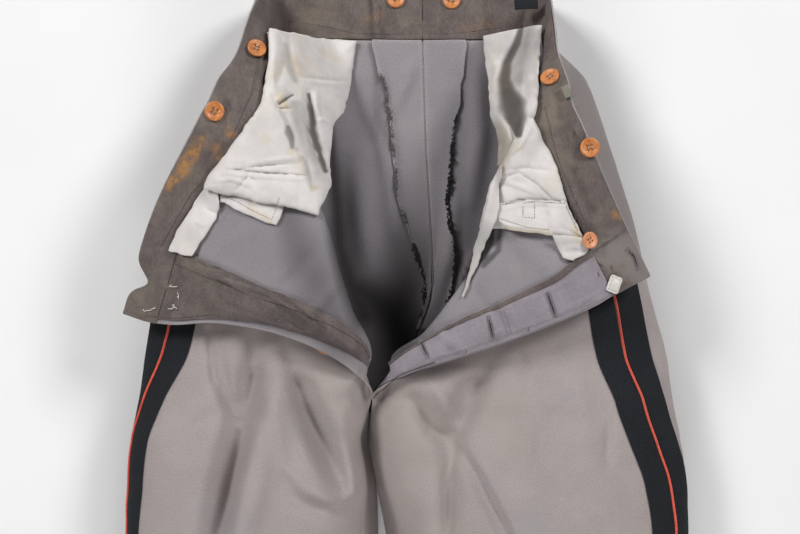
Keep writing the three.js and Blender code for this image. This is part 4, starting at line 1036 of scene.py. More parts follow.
def bandGrid(half, notched, inset=0):  # inset shows a rim of the wool along the top
    start, end = wallSizes["waistSeam"] + wallSizes["gap"], wallSizes["waistTop"]
    fine = np.linspace(start, end, bandRows)
    grid = panelGrid(half, fine, lambda at: (0, half.lengthAt(at, 11)), panelColumns["waist"])
    levels = rowLevels(start, end - inset, fine=2.4, fineFrom=0)
    fromEnd = grid["across"][0, -1] - grid["across"][0]
    dip = np.exp(-(((fromEnd - notch["from"]) / notch["width"]) ** 2)) * (notch["depth"] if notched else 0)
    share = (levels[:, None] - start) / (end - start)
    at = levels[:, None] - dip[None] * share
    index = np.clip((at - start) / (end - start) * (bandRows - 1), 0, bandRows - 1.0001)
    low = index.astype(int)
    part = index - low
    columns = np.arange(panelColumns["waist"])[None]
    pick = lambda a: mix(a[low, columns], a[low + 1, columns], part[..., None] if a.ndim == 3 else part)
    result = {key: pick(grid[key]) for key in ("p", "n", "station", "reach", "across", "at")}
    result["n"] = unit(result["n"])
    side = np.minimum(result["across"] - result["across"][:, :1], result["across"][:, -1:] - result["across"])
    rows = np.minimum(levels - start, end - inset - levels)[:, None] + 0 * side
    return {**result, "edge": np.minimum(side, rows)}


facings = {
    "right": {"rows": rightFacingRows, "start": 752,
              "piece": "flyFacing", "node": "fly_facing", "cloth": "fly"},
    "left": {"rows": leftFacingRows, "start": 775,
             "piece": "underlapFacing", "node": "fly_underlap_facing", "cloth": "underlap"},
}
underWool = wallSizes["wool"] + wallSizes["gap"]
for name, half in halves.items():
    band = crumple(bandGrid(half, name == "left"))
    clothPiece("waistBand_" + name, band, -wallSizes["wool"], wallSizes["wool"], wool,
               ["waistband_" + name], marks=edgeWear(band, 5))
    lining = wrinkled(crumple(bandGrid(half, name == "left", waistRim)))
    under = underWool + wallSizes["gap"]
    clothPiece("waistFacing_" + name, lining, -under - wallSizes["facing"], wallSizes["facing"],
               facingCloths["waist"], ["waist_facing_" + name],
               restsOn=["waistBand_" + name], marks=painted(facingMarks, lining))
    facing = facings[name]

    def facingEnds(at, half=half, rows=facing["rows"]):
        total = half.lengthAt(at, 11)
        return total - rowValue(rows, "width", at), total - rowValue(rows, "rim", at)

    levels = rowLevels(facing["start"], wallSizes["waistSeam"] - wallSizes["gap"], fine=2.4, fineFrom=0)
    grid = wrinkled(crumple(panelGrid(half, levels, facingEnds, panelColumns["facing"])))
    clothPiece(facing["piece"], grid, -underWool - wallSizes["facing"], wallSizes["facing"],
               facingCloths[facing["cloth"]], [facing["node"]],
               restsOn=["frontPanel_" + name], marks=painted(facingMarks, grid))
print("waistband and facings ready")


# dark bindings along the inner edges of the two facings
rightBindingRows = [
    {"at": 760, "width": 1.2, "lap": 0.6},
    {"at": 860, "width": 1.4, "lap": 0.8},
    {"at": 950, "width": 2.6, "lap": 1},
    {"at": 1030, "width": 4.6, "lap": 1.2},
    {"at": 1072, "width": 5.2, "lap": 1.2},
]
leftBindingRows = [
    {"at": 782, "width": 0.6, "lap": 1.2},
    {"at": 840, "width": 0.8, "lap": 6},
    {"at": 940, "width": 0.8, "lap": 11},
    {"at": 1072, "width": 0.8, "lap": 12},
]
bindings = {
    "right": {"rows": rightBindingRows, "facing": rightFacingRows, "start": 762,
              "piece": "flyBinding", "on": "flyFacing"},
    "left": {"rows": leftBindingRows, "facing": leftFacingRows, "start": 784,
             "piece": "underlapBinding", "on": "underlapFacing"},
}
bindingThick = 0.7
for name, look in bindings.items():
    def bindingEnds(at, half=halves[name], look=look):
        edge = half.lengthAt(at, 11) - rowValue(look["facing"], "width", at)
        return edge - rowValue(look["rows"], "width", at), edge + rowValue(look["rows"], "lap", at)

    levels = rowLevels(look["start"], wallSizes["waistSeam"] - 2, fine=2.4, fineFrom=0)
    bindingGrid = wrinkled(crumple(panelGrid(halves[name], levels, bindingEnds, panelColumns["binding"])))
    away = underWool + wallSizes["facing"] + 0.25 + bindingThick
    clothPiece(look["piece"], bindingGrid, -away, bindingThick, facingCloths["underlap"],
               restsOn=[look["on"]], marks=painted(facingMarks, bindingGrid))
print("bindings ready")


# the seat seam's allowances, laid open inside
inlayRows = [
    {"at": 800, "left": 4, "right": 12},
    {"at": 829, "left": 6, "right": 17},
    {"at": 875, "left": 17, "right": 20},
    {"at": 922, "left": 31, "right": 18},
    {"at": 982, "left": 34, "right": 27},
    {"at": 1016, "left": 36, "right": 34},
    {"at": 1072, "left": 48, "right": 41},
]
inlayLook = {"start": 802, "seamGap": 0.4, "ragged": 0.05, "curl": 2.2, "curlVaries": 1.8, "curlFrom": (800, 850)}
for name, half in halves.items():
    look = inlayLook
    levels = rowLevels(look["start"], wallSizes["waistSeam"] - wallSizes["gap"], fine=2.4, fineFrom=0)
    rag = {float(at): 1 + look["ragged"] * unevenness(np.array([at, 0.0, 0.0]), 9, 31) for at in levels}
    ends = lambda at: (look["seamGap"], rowValue(inlayRows, name, at) * rag[float(at)])
    grid = crumple(panelGrid(half, levels, ends, panelColumns["inlay"]))
    share = (grid["across"] - grid["across"][:, :1]) / (grid["across"][:, -1:] - grid["across"][:, :1])
    curl = share ** 2 * (look["curl"] + look["curlVaries"] * unevenness(grid["p"], 26, 33))
    curl = curl * smooth(grid["at"], *look["curlFrom"])
    grid["p"] = grid["p"] + curl[..., None] * np.array([0, 0, 1.0])
    clothPiece("seatInlay_" + name, grid, -underWool - wallSizes["facing"], wallSizes["facing"], wool,
               ["seat_inlay_" + name], restsOn=["backPanel_" + name], marks=edgeWear(grid, 6))
print("seat inlays ready")


# heights of all that lies on the plan, for the pieces that are draped over it
cell = 1.5
fieldHalf = 320
fieldCells = int(2 * fieldHalf / cell)
field = np.zeros((fieldCells, fieldCells))


def addHeights(points):
    i = np.clip(((points[..., 0] + fieldHalf) / cell).astype(int), 0, fieldCells - 1)
    j = np.clip(((points[..., 1] + fieldHalf) / cell).astype(int), 0, fieldCells - 1)
    np.maximum.at(field, (i.ravel(), j.ravel()), points[..., 2].ravel())


def overWindow(values, reach, how):  # the highest value, or the mean, in a square window
    n = max(int(round(reach / cell)), 1)
    for axis in (0, 1):
        shifted = [np.roll(values, k, axis=axis) for k in range(-n, n + 1)]
        values = how(shifted, axis=0)
    return values


def hungOver(values, slope, reach=70):  # cloth leaves an edge at a slope, it doesn't drop straight down
    fall = slope * cell
    for _ in range(int(reach / cell)):
        for axis in (0, 1):
            for k in (-1, 1):
                values = np.maximum(values, np.roll(values, k, axis=axis) - fall)
    return values


def readField(values, x, y):
    u = np.clip((x + fieldHalf) / cell - 0.5, 0, fieldCells - 2)
    v = np.clip((y + fieldHalf) / cell - 0.5, 0, fieldCells - 2)
    i, j = u.astype(int), v.astype(int)
    s, t = u - i, v - j
    top = mix(values[i, j], values[i + 1, j], s)
    return mix(top, mix(values[i, j + 1], values[i + 1, j + 1], s), t)


for surface in surfaces.values():
    addHeights(surface["p"])


# pocket bags and stays: rows across each, in the order in which they lie
pocketPieces = {
    "fobBag_left": {"node": "fob_bag_left", "lift": 0.8, "reach": 6, "slope": 1.4, "puff": 1.5, "rows": [
        {"from": (-154, 79), "to": (-102, 68)},
        {"from": (-155, 67), "to": (-101, 55)},
        {"from": (-157, 57), "to": (-108, 36)},
    ]},
    "pocketStay_left": {"node": "pocket_stay_left", "lift": 0.5, "reach": 4, "slope": 1.4, "puff": 1, "rows": [
        {"from": (-162, 84), "to": (-146, 84)},
        {"from": (-172, 67), "to": (-157, 66)},
        {"from": (-182, 50), "to": (-158, 50)},
        {"from": (-194, 32), "to": (-169, 28)},
        {"from": (-202, 15), "to": (-181, 10)},
    ]},
    "pocketBag_left": {"node": "pocket_bag_left", "lift": 1.2, "reach": 6, "slope": 1.4, "puff": 6, "rows": [
        {"from": (-117, 212), "to": (-41, 210)},
        {"from": (-116, 182), "to": (-45, 185)},
        {"from": (-119, 146), "to": (-50, 147)},
        {"from": (-134, 122), "to": (-61, 124)},
        {"from": (-152, 96), "to": (-62, 98)},
        {"from": (-167, 76), "to": (-61, 78)},
        {"from": (-170, 68), "to": (-71, 46)},
    ]},
    "pocketBag_right": {"node": "pocket_bag_right", "lift": 1.2, "reach": 6, "slope": 1.4, "puff": 9, "rows": [
        {"from": (78, 213), "to": (126, 215)},
        {"from": (80, 186), "to": (125, 190)},
        {"from": (81, 160), "to": (121, 164)},
        {"from": (82, 138), "to": (117, 138)},
        {"from": (84, 122), "to": (112, 119)},
        {"from": (87, 104), "to": (102, 101)},
        {"from": (85, 88), "to": (95, 85)},
    ]},
    "pocketBagLower_right": {"node": "pocket_bag_lower_right", "lift": 1.2, "reach": 6, "slope": 1.4, "puff": 4,
                             "rows": [
        {"from": (105, 130), "to": (114, 128)},
        {"from": (98, 108), "to": (125, 104)},
        {"from": (89, 91), "to": (136, 86)},
        {"from": (79, 69), "to": (142, 64)},
        {"from": (73, 46), "to": (149, 42)},
        {"from": (70, 34), "to": (156, 30)},
    ]},
    "fobBag_right": {"node": "fob_bag_right", "lift": 0.8, "reach": 6, "slope": 1.4, "puff": 1.5, "rows": [
        {"from": (83, 55), "to": (142, 57)},
        {"from": (84, 42), "to": (151, 39)},
        {"from": (92, 33), "to": (158, 25)},
    ]},
    "pocketStrip_right": {"node": "pocket_strip_right", "lift": 0.4, "reach": 5, "slope": 0.5, "puff": 1, "rows": [
        {"from": (86, 88), "to": (88, 88)},
        {"from": (80, 72), "to": (87, 71)},
        {"from": (75, 52), "to": (85, 50)},
        {"from": (70, 34), "to": (79, 32)},
        {"from": (64, 12), "to": (71, 12)},
        {"from": (59, -7), "to": (63.5, -6)},
        {"from": (54, -26), "to": (55.5, -26)},
    ]},
    "pocketStay_right": {"node": "pocket_stay_right", "lift": 0.4, "reach": 4, "slope": 1.4, "puff": 1, "rows": [
        {"from": (132, 28), "to": (157, 26)},
        {"from": (137, 18), "to": (163, 15)},
        {"from": (142, 8), "to": (151, 6)},
    ]},
}
cottonCreases = [
    {"path": [(-91, 169), (-71, 170), (-50, 172)], "depth": -2.2, "width": 1.6},
    {"path": [(-87, 166), (-68, 166), (-52, 167)], "depth": 1.6, "width": 1.8},
    {"path": [(-107, 208), (-104, 180), (-108, 159)], "depth": -3, "width": 3},
    {"path": [(-101, 206), (-98, 184), (-91, 165)], "depth": -3.4, "width": 2.6},
    {"path": [(-113, 198), (-112, 172), (-111, 152)], "depth": 2, "width": 2.5},
    {"path": [(-82, 156), (-80, 134), (-75, 112), (-65, 84)], "depth": -10, "width": 4.2},
    {"path": [(-87, 152), (-84, 128), (-79, 102), (-71, 78)], "depth": 2.5, "width": 3},
    {"path": [(-73, 130), (-68, 131), (-61, 127)], "depth": 2.2, "width": 1.8},
    {"path": [(-76, 154), (-75, 142), (-71, 132)], "depth": 2.5, "width": 2.2},
    {"path": [(-106, 142), (-101, 146), (-96, 151)], "depth": -4.5, "width": 2},
    {"path": [(-108, 144), (-104, 147), (-102, 143)], "depth": 2.6, "width": 1.6},
    {"path": [(-107, 138), (-101, 138), (-95, 138)], "depth": -2.6, "width": 1.2},
    {"path": [(-115, 149), (-103, 128), (-91, 102)], "depth": 3, "width": 2.4},
    {"path": [(-112, 149), (-99, 128), (-88, 102)], "depth": -4, "width": 2.6},
    {"path": [(-98, 115), (-94, 109), (-91, 103)], "depth": -4, "width": 3},
    {"path": [(-94, 102), (-89, 100), (-84, 95)], "depth": -3, "width": 2},
    {"path": [(-129, 90), (-108, 93), (-87, 95)], "depth": 2.4, "width": 1.6},
    {"path": [(-143, 84), (-120, 87), (-87, 90)], "depth": -2.2, "width": 1.4},
    {"path": [(-150, 84), (-118, 81), (-82, 79)], "depth": -3.4, "width": 1.2},
    {"path": [(-152, 81), (-120, 78), (-84, 76)], "depth": 2.2, "width": 1.8},
    {"path": [(-82, 93), (-78, 79), (-75, 67)], "depth": -3, "width": 2.4},
    {"path": [(-150, 118), (-139, 121), (-120, 135)], "depth": 1.6, "width": 3},
    {"path": [(-158, 74), (-146, 76), (-129, 70)], "depth": 1.6, "width": 1.6},
    {"path": [(-141, 67), (-131, 79), (-125, 74)], "depth": -2.4, "width": 1.2},
    {"path": [(-152, 62), (-139, 62), (-125, 54)], "depth": -1.5, "width": 1.4},
    {"path": [(-169, 52), (-164, 48), (-158, 47)], "depth": -1.5, "width": 1.2},
    {"path": [(-178, 39), (-171, 36), (-165, 37)], "depth": 1.2, "width": 1.6},
    {"path": [(82, 198), (87, 180), (83, 159)], "depth": 2.4, "width": 2.6},
    {"path": [(111, 214), (104, 196), (97, 182), (95, 163), (97, 131)], "depth": -13, "width": 5.5},
    {"path": [(117, 198), (110, 177), (107, 149), (111, 135)], "depth": 2.4, "width": 3},
    {"path": [(112, 168), (111, 152), (110, 140)], "depth": -2.6, "width": 2},
    {"path": [(130, 226), (129, 206), (127, 184), (123, 158)], "depth": -15, "width": 8},
    {"path": [(82, 152), (84, 142), (83, 132)], "depth": 1.8, "width": 1.8},
    {"path": [(92, 130), (98, 121), (99, 109)], "depth": -4, "width": 3},
    {"path": [(89, 126), (94, 118), (97, 109)], "depth": 2.6, "width": 1.8},
    {"path": [(87, 119), (89, 105), (86, 95)], "depth": -5, "width": 3},
    {"path": [(113, 121), (104, 105), (91, 95)], "depth": 1.8, "width": 2},
    {"path": [(90, 78), (103, 82), (118, 72), (132, 58)], "depth": -2.4, "width": 1.4},
    {"path": [(92, 84), (108, 86), (129, 83)], "depth": -2, "width": 1.6},
    {"path": [(91, 74), (104, 70), (117, 64)], "depth": 1.8, "width": 2},
    {"path": [(85, 89), (84, 70), (78, 48)], "depth": -2.2, "width": 2.2},
    {"path": [(79, 62), (75, 46), (71, 29)], "depth": 1.8, "width": 2},
    {"path": [(90, 53), (103, 58), (124, 58), (144, 56)], "depth": -3.4, "width": 0.9},
    {"path": [(90, 50), (103, 54), (124, 55), (144, 53)], "depth": 1.6, "width": 1.4},
    {"path": [(124, 56), (128, 46), (130, 31)], "depth": -2.6, "width": 1},
    {"path": [(84, 44), (90, 37), (110, 34), (129, 31)], "depth": 1.4, "width": 1.2},
    {"path": [(139, 34), (150, 30), (157, 25)], "depth": -1.6, "width": 1.6},
    {"path": [(141, 15), (152, 18), (162, 15)], "depth": 1.6, "width": 1.4},
]
cottonMarks = {  # grime, yellowing and shadow of the pockets
    "shade": [
        {"path": [(74, 36, 7), (66, 10, 8), (56, -18, 8)], "strength": 0.3},
        {"path": [(-82, 154, 2), (-79, 137, 3.4), (-78, 119, 3.8), (-73, 104, 3.4), (-66, 84, 2.2)],
         "strength": 0.85},
        {"path": [(-104, 198, 2.5), (-101, 180, 3), (-94, 165, 2)], "strength": 0.22},
        {"path": [(-91, 142, 5), (-87, 119, 7), (-82, 95, 6), (-75, 70, 4)], "strength": 0.24},
        {"path": [(-105, 142, 1.5), (-100, 147, 2), (-95, 151, 1)], "strength": 0.9},
        {"path": [(-98, 121, 2), (-95, 112, 4), (-94, 104, 2)], "strength": 0.6},
        {"path": [(110, 215, 3), (106, 201, 4.4), (97, 184, 4.6), (93.5, 167, 6.4), (95, 154, 8)],
         "edge": "even", "strength": 0.86},
        {"path": [(95, 154, 8), (98.5, 141, 11.6), (101, 128, 8.6), (103, 114, 3)],
         "edge": "even", "strength": 0.9},
        {"path": [(118, 212, 8), (115, 196, 10), (110, 176, 9), (106, 164, 7)],
         "edge": "soft", "strength": 0.5},
        {"path": [(112, 160, 7), (111, 148, 6), (109, 140, 4)], "edge": "soft", "strength": 0.28},
        {"path": [(86, 124, 7), (92, 106, 8), (87, 88, 6)], "edge": "soft", "strength": 0.42},
        {"path": [(84, 123, 2), (86, 109, 4), (84, 93, 3)], "strength": 0.55},
        {"path": [(87, 88, 3), (84, 69, 3), (78, 48, 4), (70, 24, 4), (61, -3, 4)], "strength": 0.22},
    ],
    "yellow": [
        {"path": [(-105, 147, 4), (-101, 140, 4)], "strength": 0.6},
        {"path": [(-96, 187, 4), (-92, 175, 5)], "strength": 0.45},
        {"path": [(-73, 198, 5), (-58, 192, 5)], "strength": 0.3},
        {"path": [(-118, 112, 4), (-115, 109, 4)], "strength": 0.3},
        {"path": [(-76, 67, 3), (-71, 69, 2)], "strength": 0.6},
        {"path": [(-94, 100, 5), (-84, 83, 5)], "strength": 0.3},
        {"path": [(-131, 51, 3), (-118, 44, 3), (-112, 39, 2)], "strength": 0.5},
        {"path": [(-108, 180, 4), (-112, 166, 5)], "strength": 0.35},
        # yellowing, and together with the shade stroke at the same place it paints the bag's tail as beige shade
        {"path": [(88, 120, 7), (92, 104, 8), (88, 88, 6)], "strength": 0.35},
        {"path": [(92, 34, 2), (112, 31, 2), (129, 30, 2)], "strength": 0.5},
        {"path": [(150, 34, 3), (155, 24, 4)], "strength": 0.6},
        {"path": [(152, 57, 3), (157, 46, 3)], "strength": 0.4},
        {"path": [(136, 79, 6), (129, 70, 5)], "strength": 0.25},
        {"path": [(96, 107, 3), (103, 102, 3)], "strength": 0.3},
    ],
}
cottonThick = 1.0


def smoothRows(rows, count):  # more rows between the table's, on a soft curve
    ends = np.array([[*row["from"], *row["to"]] for row in rows], float)
    mids = (ends[:, :2] + ends[:, 2:]) / 2
    run = np.concatenate([[0], np.cumsum(np.linalg.norm(np.diff(mids, axis=0), axis=1))])
    slopes = steadySlopes(run, ends)
    result = []
    for s in spread(0, run[-1], count):
        i = int(np.clip(np.searchsorted(run, s, side="right") - 1, 0, len(run) - 2))
        h = run[i + 1] - run[i]
        result.append(cubic(ends[i], ends[i + 1], slopes[i] * h, slopes[i + 1] * h, (s - run[i]) / h))
    return np.array(result)


def drapedGrid(rows, reach, lift, creases, waviness=1.0, step=1.3, slope=1.4, puff=0.0):
    mids = np.array([[(r["from"][k] + r["to"][k]) / 2 for k in (0, 1)] for r in rows])
    length = np.linalg.norm(np.diff(mids, axis=0), axis=1).sum()
    width = max(math.dist(r["from"], r["to"]) for r in rows)
    ends = smoothRows(rows, max(int(length / step), 9))
    count = max(int(width / step), 9)
    x, y = [], []
    for row in ends:
        chord = math.dist(row[:2], row[2:])
        share = spread(0, chord, count) / chord if chord > 5 else np.linspace(0, 1, count)
        x.append(mix(row[0], row[2], share))
        y.append(mix(row[1], row[3], share))
    x, y = np.array(x), np.array(y)
    flat = np.stack([x, y, 0 * x], axis=-1)
    ragged = 0.8 * unevenness(flat, 5, 41) + 1.2 * unevenness(flat, 17, 42)
    x, y = x + ragged * waviness, y + 0.8 * np.roll(ragged, 3, axis=0) * waviness
    level = overWindow(hungOver(overWindow(field, reach, np.max), slope), reach, np.mean)
    z = readField(level, x, y) + lift
    under = readField(overWindow(field, 3, np.max), x, y)
    soft = creaseHeight(creases, x, y) + 0.8 * unevenness(flat, 21, 43) + 0.5 * unevenness(flat, 8, 44)
    side = np.minimum(np.arange(count), np.arange(count)[::-1])[None] * width / count
    end = np.minimum(np.arange(len(x)), np.arange(len(x))[::-1])[:, None] * length / len(x)
    z = z + puff * (1 - np.exp(-np.minimum(side, end) / 7))
    z = np.maximum(z + soft * waviness, under + 0.35)
    p = np.stack([x, y, z], axis=-1)
    n = gridNormals(p, np.array([0, 0, 1.0]) + 0 * p)
    dx = np.linalg.norm(np.diff(p, axis=1), axis=-1)
    dy = np.linalg.norm(np.diff(p, axis=0), axis=-1)
    across = np.concatenate([np.zeros((len(x), 1)), np.cumsum(dx, axis=1)], axis=1)
    down = np.concatenate([np.zeros((1, x.shape[1])), np.cumsum(dy, axis=0)], axis=0)
    edge = np.minimum(np.minimum(across, across[:, -1:] - across), np.minimum(down, down[-1:] - down))
    return {"p": p, "n": n, "across": across, "at": down, "edge": edge}


# grime along the edges and in patches, with the pockets' yellowing and painted shade
def cottonWearAndShade(grid):
    near = np.clip(1 - grid["edge"] / 4, 0, 1) * (0.3 + 0.3 * unevenness(grid["p"], 12, 51))
    patch = np.clip(unevenness(grid["p"], 30, 52) - 0.35, 0, 1) * 0.25
    total = np.clip(near * 0.5 + patch, 0, 1)
    return {"stain": (total, total), **painted(cottonMarks, grid)}


for name, look in pocketPieces.items():
    grid = drapedGrid(look["rows"], look["reach"], look["lift"], cottonCreases,
                      slope=look["slope"], puff=look["puff"])
    clothPiece(name, grid, 0, cottonThick, cotton, [look["node"]],
               marks=cottonWearAndShade(grid), face="outer")
    addHeights(surfaces[name]["p"])
print("pockets ready")


# label
labelSizes = {"from": (105, 245), "to": (124, 242), "height": 11, "thick": 0.8}
labelRows = [{"from": labelSizes["from"], "to": labelSizes["to"]},
             {"from": (labelSizes["from"][0], labelSizes["from"][1] - labelSizes["height"]),
              "to": (labelSizes["to"][0], labelSizes["to"][1] - labelSizes["height"])}]
labelGrid = drapedGrid(labelRows, 4, 0.5, [], 0.1, 1.0)
clothPiece("labelTape", labelGrid, 0, labelSizes["thick"], bandCloth, ["label"], face="outer")


# buttons, each in the place and at the tilt of its solid
buttonShapes = {
    "brace": {"radius": 8.6, "thick": 2.8, "rim": 0.7, "hole": 0.95, "spread": 1.5},
    "fly": {"radius": 7.4, "thick": 2.6, "rim": 0.6, "hole": 0.9, "spread": 1.35},
}
buttonThreadRadius = 0.24


def nodeSeat(node):  # centre and facing of a small solid
    points = np.array([v.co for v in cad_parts[node].data.vertices])
    normal = np.linalg.svd(points - points.mean(axis=0), full_matrices=False)[2][2]
    return (points.min(axis=0) + points.max(axis=0)) / 2, normal * (1 if normal[2] > 0 else -1)


def turnedDisc(shape):
    r, t = shape["radius"] * metre, shape["thick"] * metre
    rim, m = shape["rim"] * metre, metre
    profile = [(0, 0), (r - 1.2 * m, 0), (r - 0.3 * m, 0.4 * m), (r, 1.1 * m), (r - 0.05 * m, t - 0.7 * m),
               (r - 0.6 * m, t - 0.1 * m), (r - 1.2 * m, t), (r - 1.9 * m, t - 0.15 * m), (r - 2.8 * m, t - rim),
               (0, t - rim)]
    bm = bmesh.new()
    corners = [bm.verts.new((x, 0, z)) for x, z in profile]
    edges = [bm.edges.new(pair) for pair in zip(corners, corners[1:])]
    bmesh.ops.spin(bm, geom=corners + edges, cent=(0, 0, 0), axis=(0, 0, 1), angle=math.tau, steps=44, use_merge=True)
    bmesh.ops.remove_doubles(bm, verts=bm.verts, dist=1e-6)
    bmesh.ops.recalc_face_normals(bm, faces=bm.faces)
    for face in bm.faces:
        face.smooth = True
    mesh = bpy.data.meshes.new("disc")
    bm.to_mesh(mesh)
    bm.free()
    return mesh


def drilled(mesh, hole, far, depth, segments):  # four holes, as far from the middle as far says
    body = bpy.data.objects.new("undrilled", mesh)
    bm = bmesh.new()
    for i in (-1, 1):
        for j in (-1, 1):
            made = bmesh.ops.create_cone(bm, cap_ends=True, segments=segments, radius1=hole * metre,
                                         radius2=hole * metre, depth=depth * metre)
            bmesh.ops.translate(bm, verts=made["verts"], vec=(i * far[0], j * far[1], 0))
    drillMesh = bpy.data.meshes.new("drills")
    bm.to_mesh(drillMesh)
    bm.free()
    drills = bpy.data.objects.new("drills", drillMesh)
    for item in (body, drills):
        bpy.context.scene.collection.objects.link(item)
    cut = body.modifiers.new("holes", "BOOLEAN")
    cut.object, cut.operation, cut.solver = drills, "DIFFERENCE", "EXACT"
    solid = bpy.data.meshes.new_from_object(body.evaluated_get(bpy.context.evaluated_depsgraph_get()))
    bpy.data.objects.remove(body)
    bpy.data.objects.remove(drills)
    return solid


def makeDisc(shape):
    far = (shape["spread"] * metre, shape["spread"] * metre)
    return drilled(turnedDisc(shape), shape["hole"], far, shape["thick"] * 3, 14)


def seated(centre, normal, turned, drop=0.0):  # the move that takes a piece made flat at the origin to its place
    z = Vector(normal).normalized()
    turn = z.to_track_quat("Z", "Y").to_matrix().to_4x4()
    return Matrix.Translation(Vector(centre) - z * drop) @ turn @ Matrix.Rotation(math.radians(turned), 4, "Z")


def addPiece(name, mesh, material, nodes=()):
    mesh.materials.clear()
    mesh.materials.append(material)
    piece = bpy.data.objects.new(name, mesh)
    bpy.context.scene.collection.objects.link(piece)
    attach(piece, "root")
    if nodes:
        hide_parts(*nodes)
    return piece


def threadPiece(name, paths, radius, material):  # many short threads as one piece
    curve = bpy.data.curves.new(name, "CURVE")
    curve.dimensions = "3D"
    curve.bevel_depth = radius * metre
    curve.bevel_resolution = 0
    curve.use_fill_caps = True
    for path in paths:
        line = curve.splines.new("POLY")
        line.points.add(len(path) - 1)
        for point, place in zip(line.points, path):
            x, y, z = place[0] + planShift[0], place[1] + planShift[1], max(place[2], 0.3)
            point.co = (x * metre, y * metre, z * metre, 1)
    holder = bpy.data.objects.new(name + "Curve", curve)
    bpy.context.scene.collection.objects.link(holder)
    mesh = bpy.data.meshes.new_from_object(holder.evaluated_get(bpy.context.evaluated_depsgraph_get()))
    bpy.data.objects.remove(holder)
    return addPiece(name, mesh, material)


buttonMeshes = {kind: makeDisc(shape) for kind, shape in buttonShapes.items()}
buttonTurns = {
    "brace_button_1": 12, "brace_button_2": 40, "brace_button_3": 25, "brace_button_4": 70, "brace_button_5": 5,
    "brace_button_6": 50, "small_button": 30, "fly_button_1": 10, "fly_button_2": 55, "fly_button_3": 80,
}
buttonThreads = []
for node, turned in buttonTurns.items():
    kind = "brace" if node.startswith("brace") else "fly"
    shape = buttonShapes[kind]
    centre, normal = nodeSeat(node)
    if node.startswith("fly"):
        normal = -normal
    place = seated(centre, normal, turned, shape["thick"] * 0.5 * metre)
    mesh = buttonMeshes[kind].copy()
    mesh.transform(place)
    corozo = corozos["small" if node == "small_button" else "brace"]
    addPiece("button_" + node, mesh, corozo, [node])
    if node == "small_button":
        continue
    s, t = shape["spread"], shape["thick"]
    for j in (-s, s):
        path = [(-s, j, 0.2), (-s, j, t - 0.5), (-s * 0.5, j, t - 0.1),
                (s * 0.5, j, t - 0.1), (s, j, t - 0.5), (s, j, 0.2)]
        for k in (-0.22, 0.22):
            spots = [place @ (Vector((x, y + k, z)) * metre) for x, y, z in path]
            buttonThreads.append([
                (p.x / metre - planShift[0], p.y / metre - planShift[1], p.z / metre) for p in spots])
threadPiece("buttonThreads", buttonThreads, buttonThreadRadius, threads["pale"])
print("buttons ready")


# hook plate and belt loop, at the place and size of their solids
def nodeFrame(node):  # centre, a turn whose x runs along it and whose z is its normal, and its three sizes
    points = np.array([v.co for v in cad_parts[node].data.vertices])
    middle = (points.min(axis=0) + points.max(axis=0)) / 2
    axes = np.linalg.svd(points - points.mean(axis=0), full_matrices=False)[2]
    if axes[2][2] < 0:
        axes[2] = -axes[2]
    axes[1] = np.cross(axes[2], axes[0])
    spans = (points - middle) @ axes.T
    turn = Matrix([[*axes[:, k]] for k in range(3)]).to_4x4()
    return Matrix.Translation(Vector(middle)) @ turn, spans.max(axis=0) - spans.min(axis=0)


hookLook = {
    "plateThick": 1.0, "bevel": 2.6, "hole": 0.5, "holeIn": 2.0,
    "tongueLong": 0.7, "tongueWide": 0.62, "tongueThick": 0.5,
}
place, size = nodeFrame("fly_hook")
bm = bmesh.new()
bmesh.ops.create_cube(bm, size=1)
bmesh.ops.scale(bm, verts=bm.verts, vec=(size[0], size[1], hookLook["plateThick"] * metre))
upright = [e for e in bm.edges if abs(e.verts[0].co.z - e.verts[1].co.z) > 0.5 * metre]
bmesh.ops.bevel(bm, geom=upright, affect="EDGES", offset=hookLook["bevel"] * metre, segments=5, profile=0.5,
                material=-1)
bmesh.ops.bevel(bm, geom=bm.edges[:], affect="EDGES", offset=0.2 * metre, segments=2, profile=0.5, material=-1)
plateMesh = bpy.data.meshes.new("plate")
bm.to_mesh(plateMesh)
bm.free()
far = [size[k] / 2 - hookLook["holeIn"] * metre for k in (0, 1)]
hookMesh = drilled(plateMesh, hookLook["hole"], far, 4, 16)
bm = bmesh.new()
bm.from_mesh(hookMesh)
tongue = bmesh.ops.create_grid(bm, x_segments=14, y_segments=3, size=0.5)["verts"]
bmesh.ops.scale(bm, verts=tongue, vec=(size[0] * hookLook["tongueLong"], size[1] * hookLook["tongueWide"], 1))
for v in tongue:  # bent up and back over the plate
    share = min(max(v.co.x / (size[0] * hookLook["tongueLong"]) + 0.5, 0), 1)
    v.co.z = (0.55 + 0.5 * math.sin(math.pi * min(share * 1.15, 0.999)) ** 0.7) * metre
    v.co.y *= 1 - 0.35 * share ** 3
faces = list({f for v in tongue for f in v.link_faces})
bmesh.ops.solidify(bm, geom=faces, thickness=-hookLook["tongueThick"] * metre)
bmesh.ops.recalc_face_normals(bm, faces=bm.faces)
bm.to_mesh(hookMesh)
bm.free()
hookMesh.transform(place)
addPiece("hookPlate", hookMesh, metal, ["fly_hook"])

